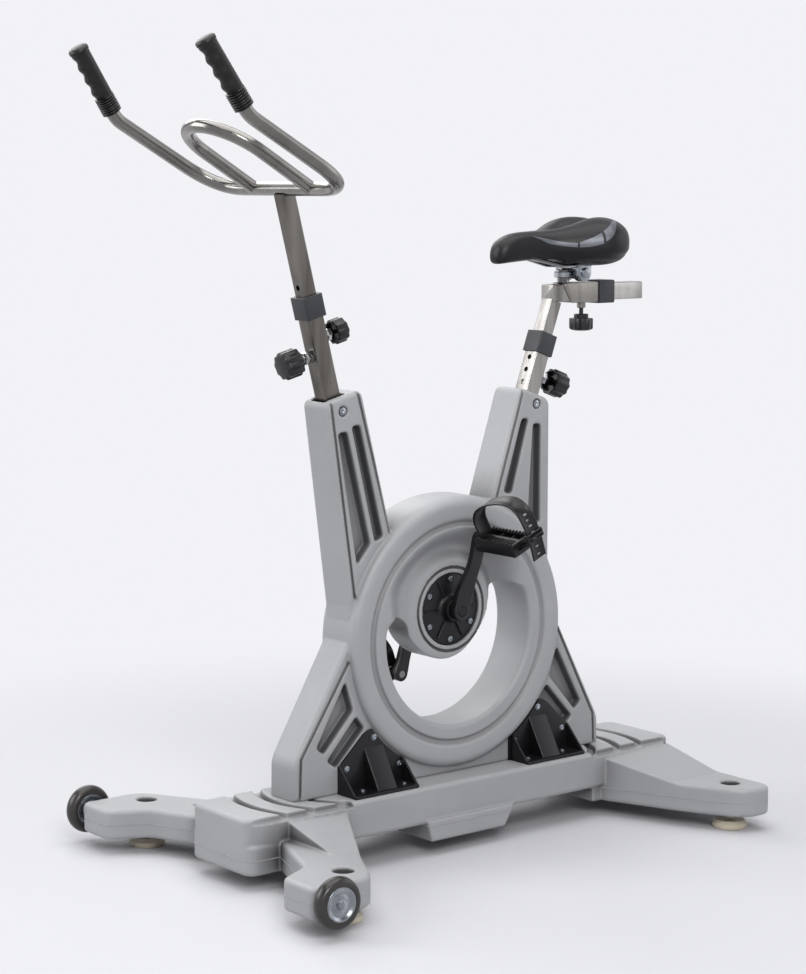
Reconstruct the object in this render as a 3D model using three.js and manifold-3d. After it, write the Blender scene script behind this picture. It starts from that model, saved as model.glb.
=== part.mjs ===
// Aqua bike: a moulded base and body, a seat post, a handlebar post, cranks and two transport wheels.
// Millimetres, +Z up, +X towards the handlebar, +Y the rider's left.
import * as THREE from "three";
import { mergeVertices } from "three/addons/utils/BufferGeometryUtils.js";
import Module from "manifold-3d";

const wasm = await Module();
wasm.setup();

// General values
const GAP = 0.3; // between pieces that seat on each other
const RUN = 1.5; // by how much every cut runs past the face that it opens
const WELD = 1e-4; // points closer than this are one point
const ROUND_SIDES = 18; // facets round a shaft or a disc
const SMALL_SIDES = 8; // facets round a small hole or a pin
const BEVEL_FINE = 4; // edges rounder than this get two facets
const ARC_STEPS = 2; // stretches in a quarter arc of a profile
const RECESS_SIDES = 20; // facets round the hub's recess and its cover
const RING_SIDES = 32; // facets round the body's ring
const SIDES = { left: 1, right: -1 };
const ENDS = { front: 1, rear: -1 };

// Base
const BASE = {
  front: 462,
  rear: -465,
  top: 118,
  bottom: 27,
  halfWidth: 90,
  blockHalfWidth: 72,
  blockLowHalfWidth: 82,
  blockStart: 300,
  blockRoot: 278,
  blockRearRoot: -271,
  beamBottom: 55,
  bellyFront: 112,
  bellyRear: -80,
  bellyHalfWidth: 95,
  bellyBottom: 25,
  bellySlope: 22,
  legTop: 77,
  edge: 7,
  cornerRound: 24,
  saddleTop: 108,
  shoulderStart: 262,
  shoulderHalfWidth: 74,
};
const LEG = {
  noseX: 385,
  noseY: 41,
  notchX: 454,
  notchY: 212,
  frontX: 517,
  shoulderY: 243,
  outerY: 320,
  heelX: 405,
  innerX: 362,
  innerY: 244,
  rootX: 245,
  rootY: 36,
  round: 14,
};
const REAR_LEG = {
  backX: -462,
  outerY: 328,
  toeX: -387,
  toeY: 308,
  bendX: -344,
  bendY: 222,
  rootX: -290,
  rootY: 80,
  round: 24,
};
const RIDGES = {
  centreX: 215,
  radii: [94, 141, 188],
  width: 13,
  depth: 10,
  reach: 78,
  arcSteps: 4,
};
const FOOT = {
  x: 421,
  rearX: -418,
  y: 269,
  radius: 30,
  topRadius: 26,
  height: 14,
  stud: 8,
  studTop: 60,
  holeRadius: 16,
  holeDepth: 22,
  holeRound: 4,
  holeSides: 14,
  sides: 16,
};

// Transport wheels
const WHEEL = {
  x: 489.7,
  y: 342.7,
  z: 56.7,
  radius: 40,
  width: 24,
  tyreDepth: 13,
  crown: 5,
  dish: 4,
  rim: 3,
  bore: 5,
  hub: 12,
  headRadius: 8,
  headHeight: 5,
  shoulder: 8,
  boltDepth: 34,
  sides: 20,
  discSides: 16,
};

// Body: slab with two arms and two legs, and a ring with a dish and a crescent opening
const BODY = {
  half: 34,
  edge: 7,
  corner: 13,
  bottom: 118,
  footHeight: 40,
  grooveWidth: 3,
  grooveDepth: 3,
  pocketDepth: 15,
  pocketRound: 5,
};
const RING = {
  rise: 8,
  outer: 229,
  half: 46,
  wallHalf: 22,
  crestWidth: 24,
  groove: 184,
  grooveDrop: 5,
  grooveWidth: 5,
  band: 44.5,
  lip: 155,
  lipRound: 7,
};
const RING_Z = BODY.bottom + RING.rise + RING.outer;
// Dish between the ring and the hub: deep between two angles, and nearly flat below them
const DISH = {
  from: 5,
  to: 168,
  over: 30,
  flatShare: 0.32,
  lowShare: 0.62,
  shares: [0.04, 0.28, 0.52, 0.76, 1],
};
const HUB = {
  x: 9,
  up: 39,
  boss: 80,
  rim: 72,
  half: 30,
  cover: 60.5,
  floorHalf: 20,
  dishFront: 28,
  dishRear: 20,
  bore: 10,
  bearing: 17.5,
  bearingWidth: 12,
  bearingSides: 12,
};
const HUB_Z = RING_Z + HUB.up;
const COVER = {
  sunk: 3,
  edge: 1.5,
  tower: 20,
  foot: 5,
  clear: 2,
  ribs: 6,
  ribLength: 30,
  ribHeight: 4,
  ribWidth: 3.5,
  ribCentre: 40,
  screws: 6,
  screwRadius: 51,
  screwTurn: 30,
};
// Crescent: round ends inside the lip circle, and the web's edge between them, as shares of the lip radius
const CRESCENT = {
  frontRadius: 28,
  frontAngle: 4,
  rearRadius: 39,
  rearAngle: 163,
  frontEnd: 178,
  rearStart: 4,
  webSteps: 9,
  arcSteps: 9,
  webEdgeShares: [
    [-0.465, 0.219],
    [-0.4, 0.077],
    [-0.284, -0.077],
    [-0.123, -0.213],
    [0.04, -0.275],
    [0.2, -0.277],
    [0.36, -0.222],
    [0.52, -0.105],
    [0.639, 0.039],
  ],
};
// Arms: the corners of their outline, the grooves along their edges, and their pockets
const FRONT_ARM = {
  topFront: [269, 754],
  topRear: [199, 772],
  footFront: [225, 421],
  footRear: [136, 530],
  rootX: 60,
  rootZ: 440,
  waistX: 225,
  waistZ: 370,
  grooves: [
    [[264, 775], [211, 412]],
    [[212, 784], [138, 520]],
  ],
  pocketShares: [
    [[0.2, 0.17], [0.44, 0.19], [0.57, 0.87], [0.25, 0.87]],
    [[0.57, 0.18], [0.78, 0.2], [0.83, 0.93], [0.66, 0.89]],
  ],
};
const REAR_ARM = {
  topFront: [-142, 757],
  topRear: [-208, 733],
  footFront: [-80, 570],
  footRear: [-208, 440],
  rootX: -40,
  rootZ: 440,
  grooves: [[[-155, 775], [-86, 566]]],
  pocketShares: [
    [[0.21, 0.23], [0.38, 0.2], [0.26, 0.81], [0.13, 0.86]],
    [[0.52, 0.21], [0.73, 0.18], [0.81, 0.79], [0.59, 0.87]],
  ],
};
// Lower legs: X is measured away from the middle, towards the leg's own end
const LOWER_LEG = { rootX: 120, rootZ: 240, innerX: 205, footRound: 6 };
const FRONT_LEG = {
  end: 1,
  waist: [225, 370],
  knee: [337, 179],
  ankleX: 338,
  grooves: [
    [[214, 352], [324, 185]],
    [[324, 188], [327, 110]],
  ],
  pockets: [
    [[234, 301], [218, 251], [278, 187], [293, 199]],
    [[212, 241], [195, 219], [253, 161], [272, 175]],
  ],
};
const BACK_LEG = {
  end: -1,
  waist: [225, 358],
  knee: [328, 166],
  ankleX: 328,
  grooves: [
    [[214, 364], [315, 172]],
    [[315, 175], [318, 110]],
  ],
  pockets: [
    [[228, 302], [211, 253], [272, 185], [286, 198]],
    [[205, 239], [187, 216], [246, 158], [265, 175]],
  ],
};
const BODY_BOLT = {
  head: 7,
  headHeight: 4,
  shaft: 4,
  recess: 8.5,
  recessDepth: 5,
  frontDown: 18.7,
  rearDown: 27.2,
};

// Corner brackets between base and body
const BRACKET = {
  apexX: 180,
  apexZ: 217,
  apexRadius: 14,
  outerX: 250,
  innerX: 115,
  shoulderZ: 165,
  flangeInnerX: 119,
  flangeOuterX: 252,
  reach: 84,
  wall: 4,
  flange: 5,
  ribHalf: 20,
  ribTopZ: 188,
  ribReach: 76,
  screwRadius: 4.5,
  screwDepth: 1.2,
};

// Cranks, pedals and straps
const CRANK = {
  length: 125,
  angle: 106,
  thickness: 14,
  inner: 46,
  flare: 10,
  bendStart: 30,
  bendEnd: 85,
  hubRadius: 16,
  endRadius: 12.5,
  neckHalf: 11,
  capRadius: 8,
  capHeight: 2.5,
};
const AXLE = { radius: 8.5, end: 57 };
const PEDAL = {
  start: 76,
  length: 95,
  half: 22.5,
  height: 22,
  wall: 6,
  tilt: 24,
  core: 10,
  bore: 6,
  spindle: 5.2,
  spindleHead: 9,
  stud: 4,
  studHeight: 3,
  studs: 3,
};
const STRAP = {
  width: 28,
  thickness: 3,
  rise: 68,
  inset: 9,
  tail: 42,
  steps: 20,
  sideShare: 0.62,
  crownShare: 0.3,
  tailShare: 0.12,
};

// Handlebar and its post
const FRONT_POST = {
  x: 241.5,
  z: 757,
  lean: 14.5,
  sunk: 240,
  above: 161,
  collarAt: 135,
  insert: 118,
  reach: 338,
  pinAt: 76,
  clampAt: 100,
  holeAt: 187,
};
// The bar's ends and its loop, ahead of and above its cross tube, which lies on top of the post
const BAR = {
  seat: 6.05,
  radius: 11,
  armY: 178,
  bend: 46,
  elbowBend: 12,
  sides: 10,
  bendSteps: 4,
  elbowAhead: 190.8,
  elbowUp: 107.1,
  tipAhead: 262.66,
  tipY: 171.6,
  tipUp: 213.6,
  loopHalf: 77,
  loopAhead: 170.4,
  loopUp: 100.9,
};
const GRIP = {
  length: 118,
  radius: 15,
  groove: 2,
  ring: 1.2,
  rings: 2,
  cap: 3,
  fingers: 4,
  fingerSteps: 2,
  sides: 12,
};

// Seat post, bar, carriage and saddle
const REAR_POST = {
  x: -187,
  z: 752,
  lean: 20.2,
  sunk: 200,
  above: 86,
  collarAt: 60,
  insert: 78,
  pinAt: 25,
  holeAt: 6,
  holePitch: 22,
};
const TUBE = { outer: 30, wall: 2, inner: 25, corner: 2.5, hole: 4.5 };
const COLLAR = { size: 37, length: 37, edge: 1.5 };
const SEAT_BAR = { front: -230, rear: -443, z: 911, size: 30, holeInset: 38 };
const CARRIAGE = {
  front: -250,
  low: -282,
  rear: -335,
  size: 35,
  collarSize: 40,
  collarLength: 36,
  bossX: -310,
  bossLength: 10,
  knobDown: 15.3,
};
const KNOB = {
  radius: 22,
  height: 19,
  lobes: 8,
  lobeShare: 0.14,
  lobeSteps: 3,
  neck: 5,
  stem: 8,
  edge: 3,
};
const CLAMP_KNOB_RADIUS = 19;
const CLAMP_KNOB_START = 42;
const BOSS = { radius: 11, height: 17, sleeve: 7.5, sleeveHeight: 17, shortSleeve: 0.6, bore: 4.2, pin: 3.7 };
// Heights above the bar's axis are named up
const PILLAR = { x: -266, radius: 11, up: 40 };
const SADDLE_CLAMP = {
  wall: 4,
  height: 16,
  boltX: -291,
  boltUp: 34,
  eye: 11,
  bolt: 4,
  head: 9,
  headHeight: 5,
  half: 13,
};
const CLAMP_BOLT_Z = SEAT_BAR.z + SADDLE_CLAMP.boltUp;
const RAIL = {
  radius: 3.5,
  middleHalf: 22,
  frontHalf: 9,
  rearHalf: 34,
  frontX: -172,
  frontUp: 64,
  lowFrontX: -248,
  lowRearX: -300,
  lowUp: 46,
  rearX: -352,
  rearUp: 61,
  sides: 6,
  bendSteps: 2,
};
const SADDLE = {
  rear: -372,
  nose: -103,
  half: 95,
  bottomUp: 51,
  topUp: 129,
  channel: 9,
  stations: 16,
  round: 20,
};
// How the saddle's section is drawn: its middle height, its narrower underside and how square its curves are
const SECTION_SHARES = { middle: 0.42, lowWidth: 0.93, widePower: 0.8, topPower: 0.75, lowPower: 0.5 };
// The channel down the middle: where it starts and ends along the saddle, and its half width
const CHANNEL_SHARES = { from: 0.02, rise: 0.2, to: 0.62, fall: 0.3, half: 0.2 };
// Saddle stations from the rear to the nose: place along it, half width, top and bottom, as shares
const SADDLE_SHARES = [
  [0, 0.3, 0.52, 0.3],
  [0.025, 0.56, 0.76, 0.12],
  [0.08, 0.82, 0.93, 0.02],
  [0.17, 0.97, 1, 0],
  [0.28, 1, 0.97, 0.02],
  [0.4, 0.86, 0.87, 0.05],
  [0.5, 0.66, 0.77, 0.08],
  [0.6, 0.45, 0.71, 0.1],
  [0.7, 0.33, 0.68, 0.11],
  [0.8, 0.27, 0.66, 0.11],
  [0.88, 0.24, 0.6, 0.1],
  [0.95, 0.2, 0.46, 0.09],
  [0.985, 0.14, 0.33, 0.1],
  [1, 0.07, 0.22, 0.13],
];

// Colours and finishes
const FINISH = {
  shell: { color: 0xa8abb4, roughness: 0.5, metalness: 0 },
  black: { color: 0x17181a, roughness: 0.45, metalness: 0 },
  collar: { color: 0x35363b, roughness: 0.55, metalness: 0 },
  rubber: { color: 0x231f1e, roughness: 0.5, metalness: 0 },
  foot: { color: 0xcfc5ac, roughness: 0.6, metalness: 0 },
  stainless: { color: 0x9b9891, roughness: 0.32, metalness: 1 },
  chrome: { color: 0xd0d2d4, roughness: 0.12, metalness: 1 },
  zinc: { color: 0xb4bac2, roughness: 0.35, metalness: 1 },
  bronze: { color: 0x9a7b4c, roughness: 0.4, metalness: 1 },
  vinyl: { color: 0x1b1b1d, roughness: 0.4, metalness: 0 },
};

// Turns a closed geometry into a solid that can be joined and cut.
function solidOf(geometry) {
  const bare = geometry.clone();
  bare.deleteAttribute("normal");
  bare.deleteAttribute("uv");
  const merged = mergeVertices(bare, WELD);
  const triVerts = new Uint32Array(merged.index.array);
  const build = () =>
    new wasm.Manifold(
      new wasm.Mesh({ numProp: 3, vertProperties: merged.attributes.position.array, triVerts }),
    );
  const made = build();
  if (made.volume() > 0) return made;
  for (let i = 0; i < triVerts.length; i += 3) {
    [triVerts[i + 1], triVerts[i + 2]] = [triVerts[i + 2], triVerts[i + 1]];
  }
  return build();
}

function geometryOf(solid) {
  const { numProp, vertProperties, triVerts } = solid.getMesh();
  const positions = [];
  for (let i = 0; i < vertProperties.length; i += numProp) {
    positions.push(vertProperties[i], vertProperties[i + 1], vertProperties[i + 2]);
  }
  const geometry = new THREE.BufferGeometry();
  geometry.setAttribute("position", new THREE.Float32BufferAttribute(positions, 3));
  geometry.setIndex([...triVerts]);
  return geometry;
}

function join(...pieces) {
  return geometryOf(pieces.map(solidOf).reduce((a, b) => a.add(b)));
}

function cut(piece, ...tools) {
  return geometryOf(tools.map(solidOf).reduce((a, b) => a.subtract(b), solidOf(piece)));
}

function common(a, b) {
  return geometryOf(solidOf(a).intersect(solidOf(b)));
}

const radians = THREE.MathUtils.degToRad;

// A closed outline through the points, with its corners rounded by the radius or by one radius each.
function outline(points, radius = 0) {
  const shape = new THREE.Shape();
  points.forEach((corner, i) => {
    const at = new THREE.Vector2(...corner);
    const before = new THREE.Vector2(...points[(i + points.length - 1) % points.length]);
    const after = new THREE.Vector2(...points[(i + 1) % points.length]);
    const wanted = Array.isArray(radius) ? radius[i] : radius;
    const room = Math.min(at.distanceTo(before), at.distanceTo(after)) / 2;
    const back = Math.min(wanted, room);
    const enter = at.clone().add(before.sub(at).setLength(back));
    const leave = at.clone().add(after.sub(at).setLength(back));
    if (i === 0) shape.moveTo(enter.x, enter.y);
    else shape.lineTo(enter.x, enter.y);
    if (back > 0) shape.quadraticCurveTo(at.x, at.y, leave.x, leave.y);
  });
  shape.closePath();
  return shape;
}

function disc(x, y, radius) {
  const shape = new THREE.Shape();
  shape.absarc(x, y, radius, 0, 2 * Math.PI);
  return shape;
}

function square(size, corner) {
  const h = size / 2;
  return outline([[-h, -h], [h, -h], [h, h], [-h, h]], corner);
}

// An outline drawn in X and Y, from one height to another, its edges rounded by edge.
function upright(shape, from, to, edge = 0, segments = 2) {
  const geometry = new THREE.ExtrudeGeometry(shape, {
    depth: to - from - 2 * edge,
    bevelEnabled: edge > 0,
    bevelThickness: edge,
    bevelSize: edge,
    bevelOffset: -edge,
    bevelSegments: edge > BEVEL_FINE ? 2 : 1,
    curveSegments: segments,
  });
  return geometry.translate(0, 0, from + edge);
}

// An outline drawn in X and Z, from one Y to another, its edges rounded by edge.
function across(shape, from, to, edge = 0, segments = 2) {
  return upright(shape, -to, -from, edge, segments).rotateX(Math.PI / 2);
}

// A shaft along Y between two places.
function shaft(radius, from, to, sides = ROUND_SIDES, endRadius = radius) {
  const geometry = new THREE.CylinderGeometry(endRadius, radius, to - from, sides);
  return geometry.translate(0, (from + to) / 2, 0);
}

// The radius of a faceted bore whose flats clear a round shaft.
function boreFor(radius, sides = SMALL_SIDES) {
  return (radius + GAP) / Math.cos(Math.PI / sides);
}

// A profile of radius and Y, turned about the Y axis.
function turned(points, sides = ROUND_SIDES) {
  return new THREE.LatheGeometry(points.map((p) => new THREE.Vector2(...p)), sides);
}

// Points of a quarter arc between two profile points, bulging towards the corner.
function arcPoints(from, corner, to) {
  const curve = new THREE.QuadraticBezierCurve(
    new THREE.Vector2(...from),
    new THREE.Vector2(...corner),
    new THREE.Vector2(...to),
  );
  return curve.getPoints(ARC_STEPS).map((p) => [p.x, p.y]);
}

// A bent line that keeps its stations where the bends are: straights have none between their ends.
class BentLine extends THREE.Curve {
  constructor(corners, bend, bendSteps) {
    super();
    const points = corners.map((c) => new THREE.Vector3(...c));
    this.stations = [points[0]];
    for (let i = 1; i < points.length - 1; i += 1) {
      const at = points[i];
      const room = Math.min(at.distanceTo(points[i - 1]), at.distanceTo(points[i + 1])) / 2;
      const back = Math.min(Array.isArray(bend) ? bend[i - 1] : bend, room);
      const enter = at.clone().add(points[i - 1].clone().sub(at).setLength(back));
      const leave = at.clone().add(points[i + 1].clone().sub(at).setLength(back));
      const curve = new THREE.QuadraticBezierCurve3(enter, at, leave);
      for (const p of curve.getPoints(bendSteps)) {
        if (p.distanceTo(this.stations.at(-1)) > WELD) this.stations.push(p);
      }
    }
    this.stations.push(points.at(-1));
    this.steps = this.stations.length - 1;
  }
  getUtoTmapping(u) {
    return u;
  }
  getPoint(t, target = new THREE.Vector3()) {
    const at = THREE.MathUtils.clamp(t, 0, 1) * this.steps;
    const i = Math.min(Math.floor(at), this.steps - 1);
    return target.lerpVectors(this.stations[i], this.stations[i + 1], at - i);
  }
}

function tube(corners, radius, bend, sides, bendSteps) {
  const path = new BentLine(corners, bend, bendSteps);
  return new THREE.ExtrudeGeometry(disc(0, 0, radius), {
    steps: path.steps,
    curveSegments: sides / 2,
    extrudePath: path,
  });
}

// The same outline on both faces of the body, cut to the depth.
function bothFaces(shape, half, depth) {
  return [
    across(shape, half - depth, half + RING.half, 0, 1),
    across(shape, -half - RING.half, -half + depth, 0, 1),
  ];
}

// Base

function legOutline(side) {
  const p = LEG;
  const inner = [
    [p.rootX, p.rootY],
    [p.noseX, p.noseY],
    [p.notchX, p.notchY],
    [p.frontX, p.shoulderY],
    [p.frontX, p.outerY],
    [p.heelX, p.outerY],
    [p.innerX, p.innerY],
  ];
  const points = inner.map(([x, y]) => [x, side * y]);
  return outline(points, [0, 0, p.round, p.round, p.round, 2 * p.round, p.round]);
}

function rearLegOutline(side) {
  const p = REAR_LEG;
  const points = [
    [p.rootX, p.rootY],
    [p.bendX, p.bendY],
    [p.toeX, p.toeY],
    [p.toeX - p.round, p.outerY],
    [p.backX, p.outerY],
    [p.backX, p.rootY],
  ].map(([x, y]) => [x, side * y]);
  return outline(points, [0, p.round, p.round, p.round, p.round, 0]);
}

function footHole(x, y, z) {
  const p = FOOT;
  const well = turned([
    [0, -p.holeDepth],
    [p.holeRadius, -p.holeDepth],
    [p.holeRadius, -p.holeRound],
    [p.holeRadius + p.holeRound, 0],
    [p.holeRadius + p.holeRound, RUN],
    [0, RUN],
  ], p.holeSides);
  const stud = shaft(boreFor(p.stud), -BASE.legTop, RUN, SMALL_SIDES);
  return join(well, stud).rotateX(Math.PI / 2).translate(x, y, z);
}

// The beam's top steps down to the leg beside the ridges.
function shoulder(end, side) {
  const p = BASE;
  const shape = outline([
    [end * p.shoulderStart, side * p.shoulderHalfWidth],
    [end * (p.front + p.edge), side * p.shoulderHalfWidth],
    [end * (p.front + p.edge), side * (p.halfWidth + RUN)],
    [end * p.shoulderStart, side * (p.halfWidth + RUN)],
  ]);
  return upright(shape, p.saddleTop, p.top + RUN);
}

function ridgeGroove(end, radius) {
  const half = Math.asin(RIDGES.reach / radius);
  const middle = end > 0 ? 0 : Math.PI;
  const shape = new THREE.Shape();
  const x = end * RIDGES.centreX;
  shape.absarc(x, 0, radius + RIDGES.width / 2, middle - half, middle + half, false);
  shape.absarc(x, 0, radius - RIDGES.width / 2, middle + half, middle - half, true);
  shape.closePath();
  return upright(shape, BASE.top - RIDGES.depth, BASE.top + RUN, 0, RIDGES.arcSteps);
}

function beamOutline() {
  const p = BASE;
  const inner = p.blockHalfWidth;
  const neck = p.blockStart;
  return outline(
    [
      [p.front, inner],
      [p.front - p.cornerRound, inner + p.edge],
      [neck, p.halfWidth],
      [-neck, p.halfWidth],
      [p.rear + p.cornerRound, inner + p.edge],
      [p.rear, inner],
      [p.rear, -inner],
      [p.rear + p.cornerRound, -inner - p.edge],
      [-neck, -p.halfWidth],
      [neck, -p.halfWidth],
      [p.front - p.cornerRound, -inner - p.edge],
      [p.front, -inner],
    ],
    [1, 1, 0, 0, 1, 1, 1, 1, 0, 0, 1, 1].map((rounded) => rounded * p.cornerRound),
  );
}

function endBlock(end) {
  const p = BASE;
  const tip = end > 0 ? p.front : p.rear;
  const half = p.blockLowHalfWidth;
  const root = end > 0 ? p.blockRoot : p.blockRearRoot;
  // The front block reaches back to the corners of the legs that meet in it
  const back = end > 0 ? [[LEG.rootX, LEG.rootY], [LEG.rootX, -LEG.rootY]] : [];
  const shape = outline(
    [
      [root, -half],
      [tip, -half],
      [tip, half],
      [root, half],
      ...back,
    ],
    [0, p.cornerRound, p.cornerRound, 0, 0, 0],
  );
  return upright(shape, p.bottom, p.legTop, p.edge);
}

function belly() {
  const p = BASE;
  const shape = outline([
    [p.bellyFront, p.beamBottom + p.edge],
    [p.bellyFront - p.bellySlope / 2, p.bellyBottom],
    [p.bellyRear + p.bellySlope, p.bellyBottom],
    [p.bellyRear, p.beamBottom + p.edge],
  ]);
  return across(shape, -p.bellyHalfWidth, p.bellyHalfWidth, p.edge / 2);
}

// The slope by which a leg rises to the beam, as a wedge beside the beam.
function legRoot(side) {
  const p = LEG;
  const shape = outline([
    [side * BASE.blockHalfWidth, BASE.bottom + BASE.edge],
    [side * p.notchY, BASE.bottom + BASE.edge],
    [side * p.notchY, BASE.legTop - BASE.edge / 2],
    [side * BASE.blockHalfWidth, BASE.saddleTop],
  ]);
  const wedge = upright(shape, 0, 1).scale(1, 1, p.noseX - p.rootX);
  wedge.rotateX(Math.PI / 2).rotateZ(Math.PI / 2).translate(p.rootX, 0, 0);
  const plan = upright(legOutline(side), BASE.bottom, BASE.top);
  return common(wedge, plan);
}

function rearLegRoot(side) {
  const p = REAR_LEG;
  const shape = outline([
    [side * BASE.blockHalfWidth, BASE.bottom + BASE.edge],
    [side * p.bendY, BASE.bottom + BASE.edge],
    [side * p.bendY, BASE.legTop - BASE.edge / 2],
    [side * BASE.blockHalfWidth, BASE.saddleTop],
  ]);
  const wedge = upright(shape, 0, 1).scale(1, 1, p.rootX - p.backX - BASE.edge);
  wedge.rotateX(Math.PI / 2).rotateZ(Math.PI / 2).translate(p.backX + BASE.edge, 0, 0);
  const plan = upright(rearLegOutline(side), BASE.bottom, BASE.top);
  return common(wedge, plan);
}

function wheelBore(side) {
  const hole = shaft(boreFor(WHEEL.bore), -WHEEL.boltDepth, RUN, SMALL_SIDES);
  if (side < 0) hole.rotateX(Math.PI);
  return hole.translate(WHEEL.x, side * LEG.outerY, WHEEL.z);
}

function base() {
  const p = BASE;
  const pieces = [
    upright(beamOutline(), p.beamBottom, p.top, p.edge),
    endBlock(1),
    endBlock(-1),
    belly(),
  ];
  const tools = [];
  for (const side of Object.values(SIDES)) {
    pieces.push(upright(legOutline(side), p.bottom, p.legTop, p.edge));
    pieces.push(upright(rearLegOutline(side), p.bottom, p.legTop, p.edge));
    pieces.push(legRoot(side), rearLegRoot(side));
    tools.push(footHole(FOOT.x, side * FOOT.y, p.legTop));
    tools.push(footHole(FOOT.rearX, side * FOOT.y, p.legTop));
    tools.push(wheelBore(side));
  }
  for (const end of Object.values(ENDS)) {
    for (const radius of RIDGES.radii) tools.push(ridgeGroove(end, radius));
    for (const side of Object.values(SIDES)) tools.push(shoulder(end, side));
  }
  return cut(join(...pieces), ...tools);
}

function foot(x, y) {
  const p = FOOT;
  const pad = turned([
    [0, 0],
    [p.radius, 0],
    [p.radius, p.height / 2],
    [p.topRadius, p.height],
    [p.stud, p.height],
    [p.stud, p.studTop],
    [0, p.studTop],
  ], p.sides);
  return pad.rotateX(Math.PI / 2).translate(x, y, 0);
}

// Wheels: each is drawn about its own axle, outer face towards +Y

function tyre() {
  const p = WHEEL;
  const half = p.width / 2;
  const inner = (p.radius - p.tyreDepth) / Math.cos(Math.PI / p.sides);
  const wall = p.radius - p.crown;
  return turned(
    [
      [inner, -half],
      [wall - p.crown, -half],
      ...arcPoints([wall - p.crown, -half], [wall, -half], [wall + p.crown / 2, -half / 2]).slice(1),
      [p.radius, 0],
      ...arcPoints([wall + p.crown / 2, half / 2], [wall, half], [wall - p.crown, half]),
      [inner, half],
      [inner, -half],
    ],
    p.sides,
  );
}

function wheelDisc() {
  const p = WHEEL;
  const half = p.width / 2;
  const rim = p.radius - p.tyreDepth - GAP;
  const face = half - p.dish;
  const bore = boreFor(p.bore, p.discSides);
  return turned(
    [
      [bore, -half + GAP],
      [p.hub, -half + GAP],
      [p.hub + p.dish, -face],
      [rim - p.rim - p.dish, -face],
      [rim - p.rim, -half],
      [rim, -half],
      [rim, half],
      [rim - p.rim, half],
      [rim - p.rim - p.dish, face],
      [p.hub + p.dish, face],
      [p.hub, half - p.dish / 2],
      [bore, half - p.dish / 2],
      [bore, -half + GAP],
    ],
    p.discSides,
  );
}

function wheelBolt() {
  const p = WHEEL;
  const out = p.width / 2 - p.dish / 2 + GAP;
  const leg = LEG.outerY - p.y;
  return turned(
    [
      [0, leg - p.boltDepth + RUN],
      [p.bore, leg - p.boltDepth + RUN],
      [p.bore, leg + GAP],
      [p.shoulder, leg + GAP],
      [p.shoulder, -p.width / 2],
      [p.bore, -p.width / 2],
      [p.bore, out],
      [p.headRadius, out],
      ...arcPoints([p.headRadius, out], [p.headRadius, out + p.headHeight], [0, out + p.headHeight]),
    ],
    SMALL_SIDES,
  );
}

// Body

function smooth(share) {
  const s = THREE.MathUtils.clamp(share, 0, 1);
  return s * s * (3 - 2 * s);
}

// The ring's outer band as radius and height, from the rim inwards to the foot of the groove.
function ringProfile() {
  const p = RING;
  const crest = p.outer - p.crestWidth / 2 - p.grooveDrop;
  return [
    [p.outer, p.wallHalf],
    ...arcPoints([p.outer, p.wallHalf], [p.outer, p.half], [crest, p.half]).slice(1),
    [p.groove + p.grooveWidth, p.band],
    [p.groove, p.band - p.grooveDrop],
  ];
}

// Height of the dish between the groove and the hub's boss, at a share of the way and an angle.
function dishHeight(share, angle) {
  const turn = THREE.MathUtils.euclideanModulo(angle, 360);
  const open = smooth((turn - DISH.from) / DISH.over) * smooth((DISH.to - turn) / DISH.over);
  const flat = DISH.flatShare * (1 - open);
  const way = Math.max(0, (share - flat) / (1 - flat));
  const rearShare = (1 - Math.cos(radians(turn))) / 2;
  const low = THREE.MathUtils.lerp(HUB.dishFront, HUB.dishRear, rearShare);
  if (way < DISH.lowShare) return THREE.MathUtils.lerp(RING.band, low, smooth(way / DISH.lowShare));
  return THREE.MathUtils.lerp(low, HUB.half, smooth((way - DISH.lowShare) / (1 - DISH.lowShare)));
}

// One face of the ring, the dish and the hub's boss, as rings of points from the rim to the hub's axis.
function ringAndDish() {
  const hub = new THREE.Vector2(HUB.x, HUB_Z);
  const centre = new THREE.Vector2(0, RING_Z);
  const rings = [];
  for (let i = 0; i < RING_SIDES; i += 1) {
    const angle = (360 * i) / RING_SIDES;
    const out = new THREE.Vector2(Math.cos(radians(angle)), Math.sin(radians(angle)));
    const points = ringProfile().map(([r, y]) => [centre.clone().addScaledVector(out, r), y]);
    const start = centre.clone().addScaledVector(out, RING.groove - RING.grooveWidth / 2);
    const end = hub.clone().addScaledVector(out, HUB.boss);
    for (const share of DISH.shares) {
      points.push([start.clone().lerp(end, share), dishHeight(share, angle)]);
    }
    points.push([hub.clone().addScaledVector(out, HUB.rim), HUB.half]);
    rings.push(points);
  }
  return mirroredPlate(rings, hub, HUB.half);
}

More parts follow.
